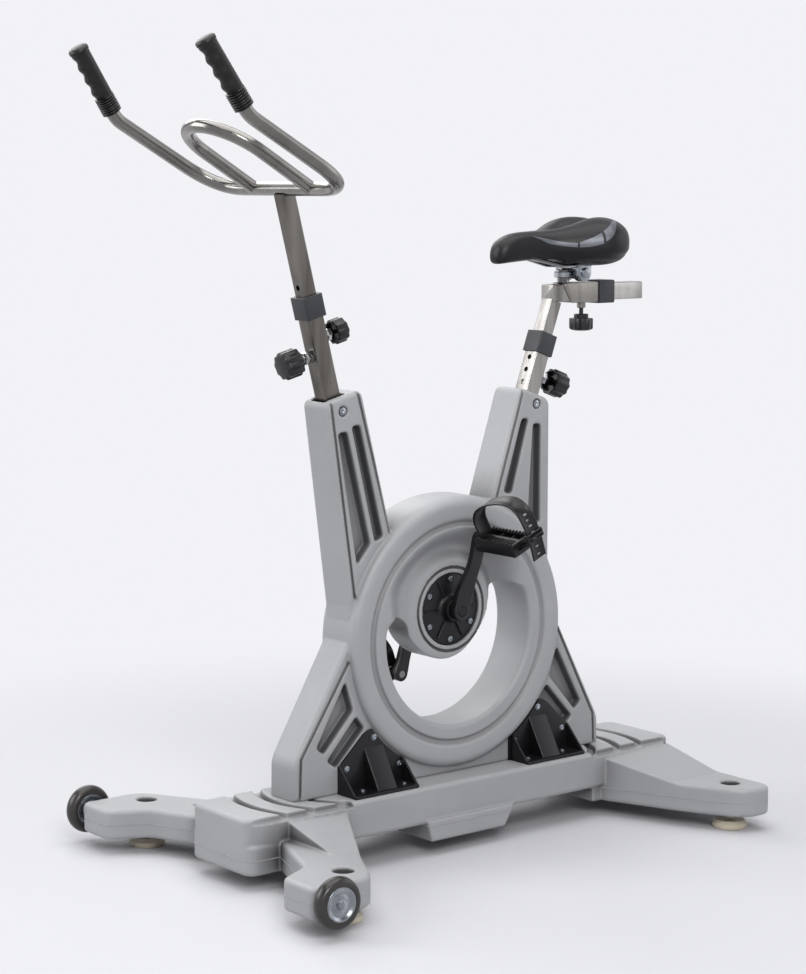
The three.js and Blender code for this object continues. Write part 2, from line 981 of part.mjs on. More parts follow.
// Closes rings of points and their mirror image in Y into one solid, with a fan round the middle point.
function mirroredPlate(rings, middle, middleHeight) {
  const positions = [];
  const count = rings[0].length;
  const index = [];
  const vertex = (side, i, k) => (side * rings.length + (i % rings.length)) * count + k;
  for (const side of [1, -1]) {
    for (const points of rings) {
      for (const [at, y] of points) positions.push(at.x, side * y, at.y);
    }
  }
  const centres = [positions.length / 3, positions.length / 3 + 1];
  positions.push(middle.x, middleHeight, middle.y, middle.x, -middleHeight, middle.y);
  for (let i = 0; i < rings.length; i += 1) {
    for (let k = 0; k < count - 1; k += 1) {
      for (const side of [0, 1]) {
        const a = vertex(side, i, k);
        const b = vertex(side, i + 1, k);
        const c = vertex(side, i + 1, k + 1);
        const d = vertex(side, i, k + 1);
        index.push(...(side === 0 ? [a, c, b, a, d, c] : [a, b, c, a, c, d]));
      }
    }
    index.push(vertex(0, i, count - 1), centres[0], vertex(0, i + 1, count - 1));
    index.push(vertex(1, i, count - 1), vertex(1, i + 1, count - 1), centres[1]);
    index.push(vertex(0, i, 0), vertex(0, i + 1, 0), vertex(1, i + 1, 0));
    index.push(vertex(0, i, 0), vertex(1, i + 1, 0), vertex(1, i, 0));
  }
  const geometry = new THREE.BufferGeometry();
  geometry.setAttribute("position", new THREE.Float32BufferAttribute(positions, 3));
  geometry.setIndex(index);
  return geometry;
}

// A place on an arm's side, by its share across from the front and its share down from the top.
function onArm(arm, [back, down]) {
  const mix = (a, b, s) => [a[0] + (b[0] - a[0]) * s, a[1] + (b[1] - a[1]) * s];
  const front = mix(arm.topFront, arm.footFront, down);
  const rear = mix(arm.topRear, arm.footRear, down);
  return mix(front, rear, back);
}

function armPockets(arm) {
  return arm.pocketShares.flatMap((shares) => {
    const points = shares.map((share) => onArm(arm, share));
    return bothFaces(outline(points, BODY.pocketRound), BODY.half, BODY.pocketDepth);
  });
}

function legPockets(leg) {
  return leg.pockets.flatMap((corners) => {
    const points = corners.map(([x, z]) => [leg.end * x, z]);
    return bothFaces(outline(points, BODY.pocketRound), BODY.half, BODY.pocketDepth);
  });
}

// Fine grooves along lines on both faces, each from one place to another.
function grooves(lines, end = 1) {
  return lines.flatMap(([from, to]) => {
    const a = new THREE.Vector2(end * from[0], from[1]);
    const b = new THREE.Vector2(end * to[0], to[1]);
    const along = b.clone().sub(a).normalize();
    const aside = new THREE.Vector2(along.y, -along.x).multiplyScalar(BODY.grooveWidth / 2);
    const corners = [a.clone().add(aside), b.clone().add(aside), b.clone().sub(aside), a.clone().sub(aside)];
    return bothFaces(outline(corners.map((p) => p.toArray())), BODY.half, BODY.grooveDepth);
  });
}

function frontArm() {
  const p = FRONT_ARM;
  const shape = outline(
    [p.topFront, p.topRear, p.footRear, [p.rootX, p.rootZ], [p.waistX, p.waistZ], p.footFront],
    [BODY.corner, BODY.corner, 0, 0, 0, 0],
  );
  return across(shape, -BODY.half, BODY.half, BODY.edge);
}

function rearArm() {
  const p = REAR_ARM;
  const shape = outline(
    [p.topFront, p.footFront, [p.rootX, p.rootZ], p.footRear, p.topRear],
    [BODY.corner, 0, 0, 0, BODY.corner],
  );
  return across(shape, -BODY.half, BODY.half, BODY.edge);
}

function lowerLeg(leg) {
  const p = LOWER_LEG;
  const shape = outline(
    [
      leg.waist,
      leg.knee,
      [leg.ankleX, BODY.bottom],
      [p.rootX, BODY.bottom],
      [p.rootX, p.rootZ],
    ].map(([x, z]) => [leg.end * x, z]),
    [0, BODY.corner, 0, 0, 0],
  );
  return across(shape, -BODY.half, BODY.half, BODY.edge);
}

function crescent() {
  const p = CRESCENT;
  const lip = RING.lip;
  const ringCentre = new THREE.Vector2(0, RING_Z);
  const lobe = (radius, degrees) => {
    const out = new THREE.Vector2(Math.cos(radians(degrees)), Math.sin(radians(degrees)));
    return ringCentre.clone().addScaledVector(out, lip - radius);
  };
  const front = lobe(p.frontRadius, p.frontAngle);
  const rear = lobe(p.rearRadius, p.rearAngle);
  const web = p.webEdgeShares.map(([x, z]) => new THREE.Vector2(x * lip, RING_Z + z * lip));
  const shape = new THREE.Shape();
  shape.absarc(ringCentre.x, ringCentre.y, lip, radians(p.rearAngle), radians(p.frontAngle + 360), false);
  shape.absarc(front.x, front.y, p.frontRadius, radians(p.frontAngle), radians(p.frontEnd), false);
  const webEdge = new THREE.SplineCurve(web.reverse()).getPoints(p.webSteps);
  for (const point of webEdge) shape.lineTo(point.x, point.y);
  shape.absarc(rear.x, rear.y, p.rearRadius, radians(p.rearStart), radians(p.rearAngle), false);
  return shape;
}

// The opening's cutter: straight through the web, and flared where it comes out of the ring's lips.
function crescentCutter() {
  const p = RING;
  const straight = p.band - p.lipRound;
  const body = across(crescent(), -p.half - RUN, p.half + RUN, 0, CRESCENT.arcSteps);
  const flare = (side) => {
    const geometry = new THREE.ExtrudeGeometry(crescent(), {
      depth: RUN,
      bevelEnabled: true,
      bevelThickness: p.lipRound,
      bevelSize: -p.lipRound,
      bevelOffset: p.lipRound,
      bevelSegments: 1,
      curveSegments: CRESCENT.arcSteps,
    });
    geometry.translate(0, 0, straight + p.lipRound).rotateX(Math.PI / 2);
    if (side > 0) geometry.scale(1, -1, 1);
    return geometry;
  };
  return join(body, flare(1), flare(-1));
}

// The front post leans forward and the rear post back.
function leanOf(post) {
  return radians(post.lean) * (post === FRONT_POST ? 1 : -1);
}

// A place on a post's axis, at a distance above the body's top.
function onPost(post, distance) {
  const lean = leanOf(post);
  return [post.x + Math.sin(lean) * distance, 0, post.z + Math.cos(lean) * distance];
}

// Leans a geometry drawn along Z from the body's top into the post's place.
function leaned(geometry, post) {
  return geometry.rotateY(leanOf(post)).translate(post.x, 0, post.z);
}

function postSocket(post) {
  const size = TUBE.outer + 2 * GAP;
  const hole = upright(square(size, TUBE.corner), -post.sunk - GAP, COLLAR.size + RUN);
  return leaned(hole, post);
}

function bodyBoltPlace(post) {
  return onPost(post, post === FRONT_POST ? -BODY_BOLT.frontDown : -BODY_BOLT.rearDown);
}

function bodyBoltHole(post, side) {
  const p = BODY_BOLT;
  const [x, , z] = bodyBoltPlace(post);
  const hole = turned([
    [0, -TUBE.outer / 2],
    [p.shaft + GAP, -TUBE.outer / 2],
    [p.shaft + GAP, BODY.half - p.recessDepth],
    [p.recess, BODY.half - p.recessDepth],
    [p.recess, BODY.half + RUN],
    [0, BODY.half + RUN],
  ], SMALL_SIDES);
  return turnedTo(hole, side).translate(x, 0, z);
}

// Turns a piece drawn towards +Y to the given side.
function turnedTo(geometry, side) {
  return side > 0 ? geometry : geometry.rotateZ(Math.PI);
}

function bodyBolt(post, side) {
  const p = BODY_BOLT;
  const [x, , z] = bodyBoltPlace(post);
  const seat = BODY.half - p.recessDepth + GAP;
  const bolt = turned([
    [0, TUBE.outer / 2 - TUBE.wall + GAP],
    [p.shaft, TUBE.outer / 2 - TUBE.wall + GAP],
    [p.shaft, seat],
    [p.head, seat],
    ...arcPoints([p.head, seat + p.headHeight / 3], [p.head, seat + p.headHeight], [0, seat + p.headHeight]),
  ], SMALL_SIDES);
  return turnedTo(bolt, side).translate(x, 0, z);
}

function hubRecess(side) {
  const p = HUB;
  const hole = turned([
    [0, 0],
    [p.bore, 0],
    [p.bore, p.floorHalf - p.bearingWidth],
    [p.bearing + GAP, p.floorHalf - p.bearingWidth],
    [p.bearing + GAP, p.floorHalf],
    [p.cover + GAP, p.floorHalf],
    [p.cover + GAP, p.half + RUN],
    [0, p.half + RUN],
  ], RECESS_SIDES);
  return turnedTo(hole, side).translate(p.x, 0, HUB_Z);
}

function bodyShell() {
  const p = LOWER_LEG;
  const foot = across(
    outline([
      [-BACK_LEG.ankleX + p.footRound, BODY.bottom],
      [FRONT_LEG.ankleX - p.footRound, BODY.bottom],
      [p.innerX, BODY.bottom + BODY.footHeight],
      [-p.innerX, BODY.bottom + BODY.footHeight],
    ]),
    -BODY.half,
    BODY.half,
    BODY.edge / 2,
  );
  const raw = join(frontArm(), rearArm(), lowerLeg(FRONT_LEG), lowerLeg(BACK_LEG), foot);
  const marks = [FRONT_ARM, REAR_ARM].flatMap((arm) => [...armPockets(arm), ...grooves(arm.grooves)]);
  for (const leg of [FRONT_LEG, BACK_LEG]) {
    marks.push(...legPockets(leg), ...grooves(leg.grooves, leg.end));
  }
  const frame = join(cut(raw, ...marks), ringAndDish());
  const tools = [crescentCutter(), postSocket(FRONT_POST), postSocket(REAR_POST)];
  for (const side of Object.values(SIDES)) {
    tools.push(hubRecess(side));
    for (const post of [FRONT_POST, REAR_POST]) tools.push(bodyBoltHole(post, side));
  }
  return cut(frame, ...tools);
}

// Bracket, drawn for the front left corner
function bracket() {
  const p = BRACKET;
  const y0 = BODY.half + GAP;
  const z0 = BASE.top + GAP;
  const plateShape = outline(
    [
      [p.outerX, z0],
      [p.outerX, p.shoulderZ],
      [p.apexX + p.apexRadius, p.apexZ],
      [p.apexX - p.apexRadius, p.apexZ],
      [p.innerX, p.shoulderZ],
      [p.innerX, z0],
    ],
    [0, p.apexRadius / 2, p.apexRadius, p.apexRadius, p.apexRadius / 2, 0],
  );
  const plate = across(plateShape, y0, y0 + p.wall);
  const flangeShape = outline(
    [
      [p.flangeInnerX, y0],
      [p.flangeOuterX, y0],
      [p.flangeOuterX, p.reach],
      [p.flangeInnerX, p.reach],
    ],
    [0, 0, p.flange, p.flange],
  );
  const flange = upright(flangeShape, z0, z0 + p.flange);
  const cheek = (x) => {
    const shape = outline([
      [y0, z0],
      [p.reach - p.flange, z0],
      [p.reach - p.flange, z0 + p.flange],
      [y0 + p.wall, p.shoulderZ],
      [y0, p.shoulderZ],
    ]);
    return upright(shape, x, x + p.wall).rotateX(Math.PI / 2).rotateZ(Math.PI / 2);
  };
  const rib = upright(
    outline([
      [y0, z0],
      [p.ribReach, z0],
      [p.ribReach, z0 + p.flange],
      [y0 + p.wall, p.ribTopZ],
      [y0, p.ribTopZ],
    ]),
    p.apexX - p.ribHalf,
    p.apexX + p.ribHalf,
    p.flange / 2,
  ).rotateX(Math.PI / 2).rotateZ(Math.PI / 2);
  const ring = shaft(RING.outer + GAP, 0, p.reach, RING_SIDES).translate(0, 0, RING_Z);
  const screws = [
    [p.apexX, p.apexZ - p.apexRadius],
    [p.outerX - p.apexRadius, p.shoulderZ - p.apexRadius / 2],
    [p.innerX + p.apexRadius / 2 + p.screwRadius, p.shoulderZ - p.apexRadius],
  ].map(([x, z]) =>
    shaft(p.screwRadius, y0 + p.wall - p.screwDepth, y0 + p.wall + RUN, SMALL_SIDES).translate(x, 0, z),
  );
  const made = join(plate, flange, cheek(p.flangeInnerX), cheek(p.flangeOuterX - p.wall), rib);
  return cut(made, ring, ...screws);
}

// Crank drive: drawn with the hub's axis on Y, towards +Y

function hubCover() {
  const p = HUB;
  const face = p.half - COVER.sunk;
  const inner = boreFor(AXLE.radius, RECESS_SIDES);
  const plate = turned([
    [inner, p.floorHalf + GAP],
    [p.cover, p.floorHalf + GAP],
    [p.cover, face - COVER.edge],
    [p.cover - COVER.edge, face],
    [COVER.tower + COVER.foot, face],
    [COVER.tower, face + COVER.foot],
    [COVER.tower - COVER.edge, CRANK.inner - COVER.clear],
    [inner, CRANK.inner - COVER.clear],
    [inner, p.floorHalf + GAP],
  ], RECESS_SIDES);
  const ribs = [];
  for (let i = 0; i < COVER.ribs; i += 1) {
    const rib = new THREE.BoxGeometry(COVER.ribLength, COVER.ribHeight, COVER.ribWidth);
    rib.translate(COVER.ribCentre, face + COVER.ribHeight / 2 - COVER.edge / 2, 0);
    ribs.push(rib.rotateY(radians((360 * i) / COVER.ribs)));
  }
  const holes = [];
  for (let i = 0; i < COVER.screws; i += 1) {
    const turn = radians(COVER.screwTurn + (360 * i) / COVER.screws);
    const hole = shaft(BRACKET.screwRadius, face - BRACKET.screwDepth, face + RUN, SMALL_SIDES);
    holes.push(hole.translate(COVER.screwRadius, 0, 0).rotateY(turn));
  }
  return cut(join(plate, ...ribs), ...holes);
}

function bearing() {
  const p = HUB;
  const [from, to] = [p.floorHalf - p.bearingWidth + GAP, p.floorHalf - GAP];
  const inner = boreFor(AXLE.radius, p.bearingSides);
  return turned([
    [inner, from],
    [p.bearing, from],
    [p.bearing, to],
    [inner, to],
    [inner, from],
  ], p.bearingSides);
}

function crankAxle() {
  return shaft(AXLE.radius, -AXLE.end, AXLE.end);
}

// The crank, drawn along +X from the hub, outwards towards +Y.
function crank() {
  const p = CRANK;
  const outer = p.inner + p.thickness;
  const hubRounds = [p.hubRadius, p.hubRadius, p.hubRadius];
  const bent = outline([
    [-p.hubRadius, p.inner],
    [p.bendStart, p.inner],
    [p.bendEnd, p.inner + p.flare],
    [p.length + p.endRadius, p.inner + p.flare],
    [p.length + p.endRadius, outer + p.flare],
    [p.bendEnd, outer + p.flare],
    [p.bendStart, outer],
    [-p.hubRadius, outer],
  ], [0, p.hubRadius, p.hubRadius, 0, 0, p.hubRadius, p.hubRadius, 0]);
  const side = upright(bent, -p.hubRadius, p.hubRadius);
  const face = outline([
    [-p.hubRadius, -p.hubRadius],
    [p.bendStart, -p.hubRadius],
    [p.bendEnd, -p.neckHalf],
    [p.length + p.endRadius, -p.endRadius],
    [p.length + p.endRadius, p.endRadius],
    [p.bendEnd, p.neckHalf],
    [p.bendStart, p.hubRadius],
    [-p.hubRadius, p.hubRadius],
  ], [...hubRounds, p.endRadius, p.endRadius, ...hubRounds]);
  const plan = across(face, p.inner - RUN, outer + p.flare + RUN);
  const bore = shaft(boreFor(AXLE.radius, ROUND_SIDES), 0, AXLE.end + GAP);
  const capSeat = shaft(p.capRadius + GAP, outer - p.capHeight / 2, outer + RUN);
  const pedalBore = shaft(boreFor(PEDAL.bore), 0, outer + p.flare + RUN, SMALL_SIDES);
  pedalBore.translate(p.length, 0, 0);
  return cut(common(side, plan), bore, capSeat, pedalBore);
}

function crankCap() {
  const p = CRANK;
  const face = p.inner + p.thickness;
  const seat = face - p.capHeight / 2 + GAP;
  return turned([
    [0, seat],
    [p.capRadius, seat],
    ...arcPoints([p.capRadius, face], [p.capRadius, face + p.capHeight / 2], [0, face + p.capHeight / 2]),
  ], SMALL_SIDES);
}

// Pedal, spindle and strap, drawn about the spindle's axis on Y, towards +Y

function pedalSpindle() {
  const p = PEDAL;
  const crankFace = CRANK.inner + CRANK.thickness + CRANK.flare;
  return turned([
    [0, CRANK.inner + CRANK.flare + GAP],
    [p.bore, CRANK.inner + CRANK.flare + GAP],
    [p.bore, crankFace + GAP],
    [p.spindleHead, crankFace + GAP],
    [p.spindleHead, p.start - GAP],
    [p.spindle, p.start - GAP],
    [p.spindle, p.start + p.length - p.wall],
    [0, p.start + p.length - p.wall],
  ], SMALL_SIDES);
}

function pedal() {
  const p = PEDAL;
  const end = p.start + p.length;
  const h = p.height / 2;
  const frame = across(
    outline([[-p.half, -h], [p.half, -h], [p.half, h], [-p.half, h]], p.wall / 2),
    p.start,
    end,
    p.wall / 4,
    3,
  );
  const slot = (sign) => {
    const span = [p.start + p.wall, end - p.wall];
    const shape = outline([
      [sign * (p.core + GAP), span[0]],
      [sign * (p.half - p.wall), span[0]],
      [sign * (p.half - p.wall), span[1]],
      [sign * (p.core + GAP), span[1]],
    ], p.wall / 2);
    return upright(shape, -p.height, p.height, 0, 2);
  };
  const bore = shaft(boreFor(p.spindle), p.start - RUN, end - p.wall + GAP, SMALL_SIDES);
  const studs = [];
  for (let i = 0; i < p.studs; i += 1) {
    for (const sign of [1, -1]) {
      const stud = new THREE.CylinderGeometry(p.stud / 2, p.stud, p.studHeight + GAP, 4);
      stud.rotateX(Math.PI / 2);
      const y = p.start + p.wall + ((i + 1) / (p.studs + 1)) * (p.length - 2 * p.wall);
      studs.push(stud.translate(sign * (p.half - p.wall / 2 - GAP), y, h + p.studHeight / 2 - GAP / 2));
    }
  }
  return cut(join(frame, ...studs), slot(1), slot(-1), bore);
}

// The strap's middle line in Y and Z: up from the crank's side, over the foot and down past the outer end.
function strapLine() {
  const p = STRAP;
  const inner = PEDAL.start + p.inset;
  const outer = PEDAL.start + PEDAL.length + p.thickness / 2 + 2 * GAP;
  const top = PEDAL.height / 2;
  const reach = outer - inner;
  return new THREE.CatmullRomCurve3(
    [
      [inner, top + GAP],
      [inner - p.inset / 3, top + p.rise * p.sideShare],
      [inner + reach * p.crownShare, top + p.rise],
      [outer - reach * p.crownShare, top + p.rise * (1 - p.tailShare)],
      [outer - p.thickness, top + p.rise / 3],
      [outer, 0],
      [outer + p.thickness, top - p.tail],
    ].map(([y, z]) => new THREE.Vector3(0, y, z)),
    false,
    "centripetal",
  );
}

function toeStrap() {
  const p = STRAP;
  const line = strapLine();
  const near = [];
  const far = [];
  for (let i = 0; i <= p.steps; i += 1) {
    const at = line.getPoint(i / p.steps);
    const along = line.getTangent(i / p.steps);
    const out = new THREE.Vector2(-along.z, along.y).multiplyScalar(p.thickness / 2);
    near.push([at.y + out.x, at.z + out.y]);
    far.push([at.y - out.x, at.z - out.y]);
  }
  const band = outline([...near, ...far.reverse()]);
  const strip = upright(band, -p.width / 2, p.width / 2, 0, 1);
  return strip.rotateX(Math.PI / 2).rotateZ(Math.PI / 2);
}

// Posts

function squareTube(size, wall, from, to) {
  const shape = square(size, TUBE.corner);
  if (wall > 0) shape.holes.push(square(size - 2 * wall, TUBE.corner / 2));
  return upright(shape, from, to, 0, 1);
}

// A hole through one wall of a post, on its front or rear face, at a distance above the body's top.
function wallHole(radius, at, face) {
  const hole = shaft(radius, 0, TUBE.outer, SMALL_SIDES);
  return hole.rotateZ(face > 0 ? -Math.PI / 2 : Math.PI / 2).translate(0, 0, at);
}

function postBoltHoles(post) {
  const [x, , z] = bodyBoltPlace(post);
  const down = -Math.hypot(x - post.x, z - post.z);
  return [shaft(boreFor(BODY_BOLT.shaft), -TUBE.outer, TUBE.outer, SMALL_SIDES).translate(0, 0, down)];
}

function frontOuterTube() {
  const p = FRONT_POST;
  const holes = [wallHole(BOSS.bore, p.pinAt, 1), wallHole(BOSS.bore, p.clampAt, -1)];
  const made = cut(
    squareTube(TUBE.outer, TUBE.wall, -p.sunk, p.above),
    ...holes,
    ...postBoltHoles(p),
  );
  return leaned(made, p);
}

function rearOuterTube() {
  const p = REAR_POST;
  const holes = [wallHole(BOSS.bore, p.pinAt, -1)];
  for (let i = 0; i < 3; i += 1) holes.push(wallHole(TUBE.hole, p.holeAt + i * p.holePitch, 1));
  const made = cut(
    squareTube(TUBE.outer, TUBE.wall, -p.sunk, p.above),
    ...holes,
    ...postBoltHoles(p),
  );
  return leaned(made, p);
}

function collar(post) {
  const p = COLLAR;
  const at = post.collarAt;
  const block = upright(square(p.size, TUBE.corner), at, at + p.length, p.edge, 3);
  const low = upright(square(TUBE.outer + 2 * GAP, TUBE.corner), at - RUN, post.above + GAP);
  const high = upright(square(TUBE.inner + 2 * GAP, TUBE.corner), at, at + p.length + RUN);
  return leaned(cut(block, low, high), post);
}

function frontInnerPost() {
  const p = FRONT_POST;
  const post = squareTube(TUBE.inner, TUBE.wall, p.above - p.insert, p.reach);
  const made = leaned(cut(post, wallHole(TUBE.hole, p.holeAt, 1)), p);
  const seat = shaft(boreFor(BAR.radius, ROUND_SIDES), -BAR.armY, BAR.armY);
  return cut(made, seat.translate(...barPlace(0, 0, 0)));
}

function seatPost() {
  const p = REAR_POST;
  const lean = radians(p.lean);
  const reach = (SEAT_BAR.z - p.z) / Math.cos(lean);
  const inner = upright(square(TUBE.inner, TUBE.corner), p.above - p.insert, reach);
  const bar = squareTube(SEAT_BAR.size, 0, SEAT_BAR.rear, SEAT_BAR.front);
  bar.rotateY(Math.PI / 2).translate(0, 0, SEAT_BAR.z);
  const hole = shaft(TUBE.hole, -TUBE.outer, TUBE.outer, SMALL_SIDES);
  hole.translate(SEAT_BAR.rear + SEAT_BAR.holeInset, 0, SEAT_BAR.z);
  return cut(join(leaned(inner, p), bar), hole);
}

// Boss for a pop pin or a clamp screw: a hexagon nut and a round sleeve, drawn along +X from the tube's face.
function boss(sleeveHeight) {
  const p = BOSS;
  const face = TUBE.outer / 2 + GAP;
  const nut = new THREE.CylinderGeometry(p.radius, p.radius, p.height, 6).rotateZ(Math.PI / 2);
  nut.translate(face + p.height / 2, 0, 0);
  const sleeve = new THREE.CylinderGeometry(p.sleeve, p.sleeve, sleeveHeight, SMALL_SIDES);
  sleeve.rotateZ(Math.PI / 2).translate(face + p.height + sleeveHeight / 2 - GAP, 0, 0);
  const bore = shaft(p.bore, 0, face + p.height + sleeveHeight + RUN, SMALL_SIDES).rotateZ(-Math.PI / 2);
  return cut(join(nut, sleeve), bore);
}

// Lobed hand knob with its pin, drawn along +X; the pin's tip ends at tip.
function knob(radius, start, height, pinTip) {
  const p = KNOB;
  const shape = new THREE.Shape();
  const steps = p.lobes * p.lobeSteps;
  for (let i = 0; i < steps; i += 1) {
    const turn = (2 * Math.PI * i) / steps;
    const r = radius * (1 - (p.lobeShare * (1 - Math.cos(turn * p.lobes))) / 2);
    if (i === 0) shape.moveTo(r, 0);
    else shape.lineTo(r * Math.cos(turn), r * Math.sin(turn));
  }
  const head = upright(shape, start, start + height, p.edge).rotateY(Math.PI / 2);
  const neckRadius = radius * (1 - 2 * p.lobeShare);
  const neck = new THREE.CylinderGeometry(p.stem, neckRadius, p.neck + p.edge, SMALL_SIDES);
  neck.rotateZ(Math.PI / 2).translate(start - p.neck / 2 + p.edge / 2, 0, 0);
  const pin = shaft(BOSS.pin, pinTip, start + p.edge, SMALL_SIDES).rotateZ(-Math.PI / 2);
  return join(head, neck, pin);
}

// Puts a piece drawn along +X from a post's axis on the post's front or rear face.
function onFace(geometry, post, at, face) {
  if (face < 0) geometry.rotateZ(Math.PI);
  return leaned(geometry.translate(0, 0, at), post);
}

const BOSS_END = TUBE.outer / 2 + BOSS.height + BOSS.sleeveHeight;
const PIN_TIP = TUBE.inner / 2 + GAP;

function popPin() {
  return knob(KNOB.radius, BOSS_END + KNOB.neck + GAP, KNOB.height, PIN_TIP);
}

// Handlebar

// A place ahead of, beside and above the middle of the bar's cross tube.
function barPlace(ahead, y, up) {
  const [x, , z] = onPost(FRONT_POST, FRONT_POST.reach + BAR.seat);
  return [x + ahead, y, z + up];
}

function handlebar() {
  const p = BAR;
  const arm = (side) => [
    barPlace(0, side * p.armY, 0),
    barPlace(p.elbowAhead, side * p.armY, p.elbowUp),
    barPlace(p.tipAhead, side * p.tipY, p.tipUp),
  ];
  const bends = [p.elbowBend, p.bend, p.bend, p.elbowBend];
  const bar = tube([...arm(1).reverse(), ...arm(-1)], p.radius, bends, p.sides, p.bendSteps);
  const near = (side) => barPlace(0, side * p.loopHalf, 0);
  const far = (side) => barPlace(p.loopAhead, side * p.loopHalf, p.loopUp);
  const corners = [near(1), far(1), far(-1), near(-1)];
  const loop = tube(corners, p.radius - GAP, p.loopHalf, p.sides, p.bendSteps);
  return join(bar, loop);
}

function grip(side) {
  const p = GRIP;
  const tip = new THREE.Vector3(...barPlace(BAR.tipAhead, side * BAR.tipY, BAR.tipUp));
  const elbow = new THREE.Vector3(...barPlace(BAR.elbowAhead, side * BAR.armY, BAR.elbowUp));
  const back = elbow.sub(tip).normalize();
  const profile = [[0, 0]];
  profile.push([p.radius, 0], [p.radius, p.cap]);
  const ringLength = p.rings * 2 * p.ring;
  for (let i = 0; i < p.rings; i += 1) {
    const y = p.cap + i * 2 * p.ring;
    profile.push([p.radius - p.ring, y + p.ring / 2], [p.radius - p.ring, y + p.ring]);
    profile.push([p.radius, y + 2 * p.ring]);
  }
  const start = p.cap + ringLength;
  const waves = p.fingers * p.fingerSteps;
  for (let i = 1; i <= waves; i += 1) {
    const swell = (1 - Math.cos((2 * Math.PI * i) / p.fingerSteps)) / 2;
    const y = start + ((p.length - start - ringLength) * i) / waves;
    profile.push([p.radius - p.groove * swell, y]);
  }
  profile.push([p.radius + p.ring, p.length - ringLength / 2], [p.radius + p.ring, p.length], [0, p.length]);
  const outer = turned(profile, p.sides);
  const bore = shaft(boreFor(BAR.radius, BAR.sides), p.cap, p.length + RUN, BAR.sides);
  const made = cut(outer, bore);
  const turn = new THREE.Quaternion().setFromUnitVectors(new THREE.Vector3(0, 1, 0), back);
  const at = tip.clone().addScaledVector(back, -p.cap - GAP);
  return made.applyQuaternion(turn).translate(at.x, at.y, at.z);
}

// Carriage and saddle

function carriage() {
  const p = CARRIAGE;
  const half = p.size / 2;
  const shape = outline(
    [
      [p.front, SEAT_BAR.z + half],
      [p.front, SEAT_BAR.z + half / 2],
      [p.low, SEAT_BAR.z - half],
      [p.rear, SEAT_BAR.z - half],
      [p.rear, SEAT_BAR.z + half],
    ],
    [0, half, half, 0, 0],
  );
  const sleeve = across(shape, -half, half);
  const bossPiece = shaft(BOSS.sleeve, -half - p.bossLength, -half + GAP, SMALL_SIDES);
  bossPiece.rotateX(Math.PI / 2).translate(p.bossX, 0, SEAT_BAR.z);
  const room = upright(square(SEAT_BAR.size + 2 * GAP, TUBE.corner), p.rear - RUN, p.front + RUN);
  room.rotateY(Math.PI / 2).translate(0, 0, SEAT_BAR.z);
  const bore = shaft(BOSS.bore, -half - p.bossLength - RUN, -SEAT_BAR.size / 2 + GAP, SMALL_SIDES);
  bore.rotateX(Math.PI / 2).translate(p.bossX, 0, SEAT_BAR.z);
  return cut(join(sleeve, bossPiece), room, bore);
}

function carriageCollar() {
  const p = CARRIAGE;
  const shape = square(p.collarSize, TUBE.corner);
  shape.holes.push(square(SEAT_BAR.size + 2 * GAP, TUBE.corner));
  const ring = upright(shape, p.rear - p.collarLength, p.rear - GAP);
  return ring.rotateY(Math.PI / 2).translate(0, 0, SEAT_BAR.z);
}

function carriageKnob() {
  const p = CARRIAGE;
  const start = p.size / 2 + p.knobDown;
  const made = knob(CLAMP_KNOB_RADIUS, start, KNOB.height + KNOB.edge, SEAT_BAR.size / 2 + GAP);
  return made.rotateY(Math.PI / 2).translate(p.bossX, 0, SEAT_BAR.z);
}

function pillar() {
  const p = PILLAR;
  const from = SEAT_BAR.z + CARRIAGE.size / 2 + GAP;
  return shaft(p.radius, from, SEAT_BAR.z + p.up).rotateX(Math.PI / 2).translate(p.x, 0, 0);
}

function saddleClamp() {
  const p = SADDLE_CLAMP;
  const ringOuter = PILLAR.radius + GAP + p.wall;
  const pillarTop = SEAT_BAR.z + PILLAR.up;
  const ring = shaft(ringOuter, CLAMP_BOLT_Z - p.height / 2, pillarTop - p.wall).rotateX(Math.PI / 2);
  ring.translate(PILLAR.x, 0, 0);
  const eye = shaft(p.eye, -p.half, p.half).translate(p.boltX, 0, CLAMP_BOLT_Z);
  const room = shaft(boreFor(PILLAR.radius, ROUND_SIDES), 0, pillarTop + PILLAR.up);
  room.rotateX(Math.PI / 2).translate(PILLAR.x, 0, 0);
  const bore = shaft(boreFor(p.bolt), -p.half - RUN, p.half + RUN, SMALL_SIDES);
  bore.translate(p.boltX, 0, CLAMP_BOLT_Z);
  return cut(join(ring, eye), room, bore);
}

function saddleClampBolt() {
  const p = SADDLE_CLAMP;
  const end = RAIL.middleHalf + RAIL.radius + p.wall + GAP;
  return turned([
    [0, -end - p.headHeight],
    [p.head, -end - p.headHeight],
    [p.head, -end],
    [p.bolt, -end],
    [p.bolt, end],
    [p.head, end],
    [p.head, end + p.headHeight],
    [0, end + p.headHeight],
  ], SMALL_SIDES).translate(p.boltX, 0, CLAMP_BOLT_Z);
}

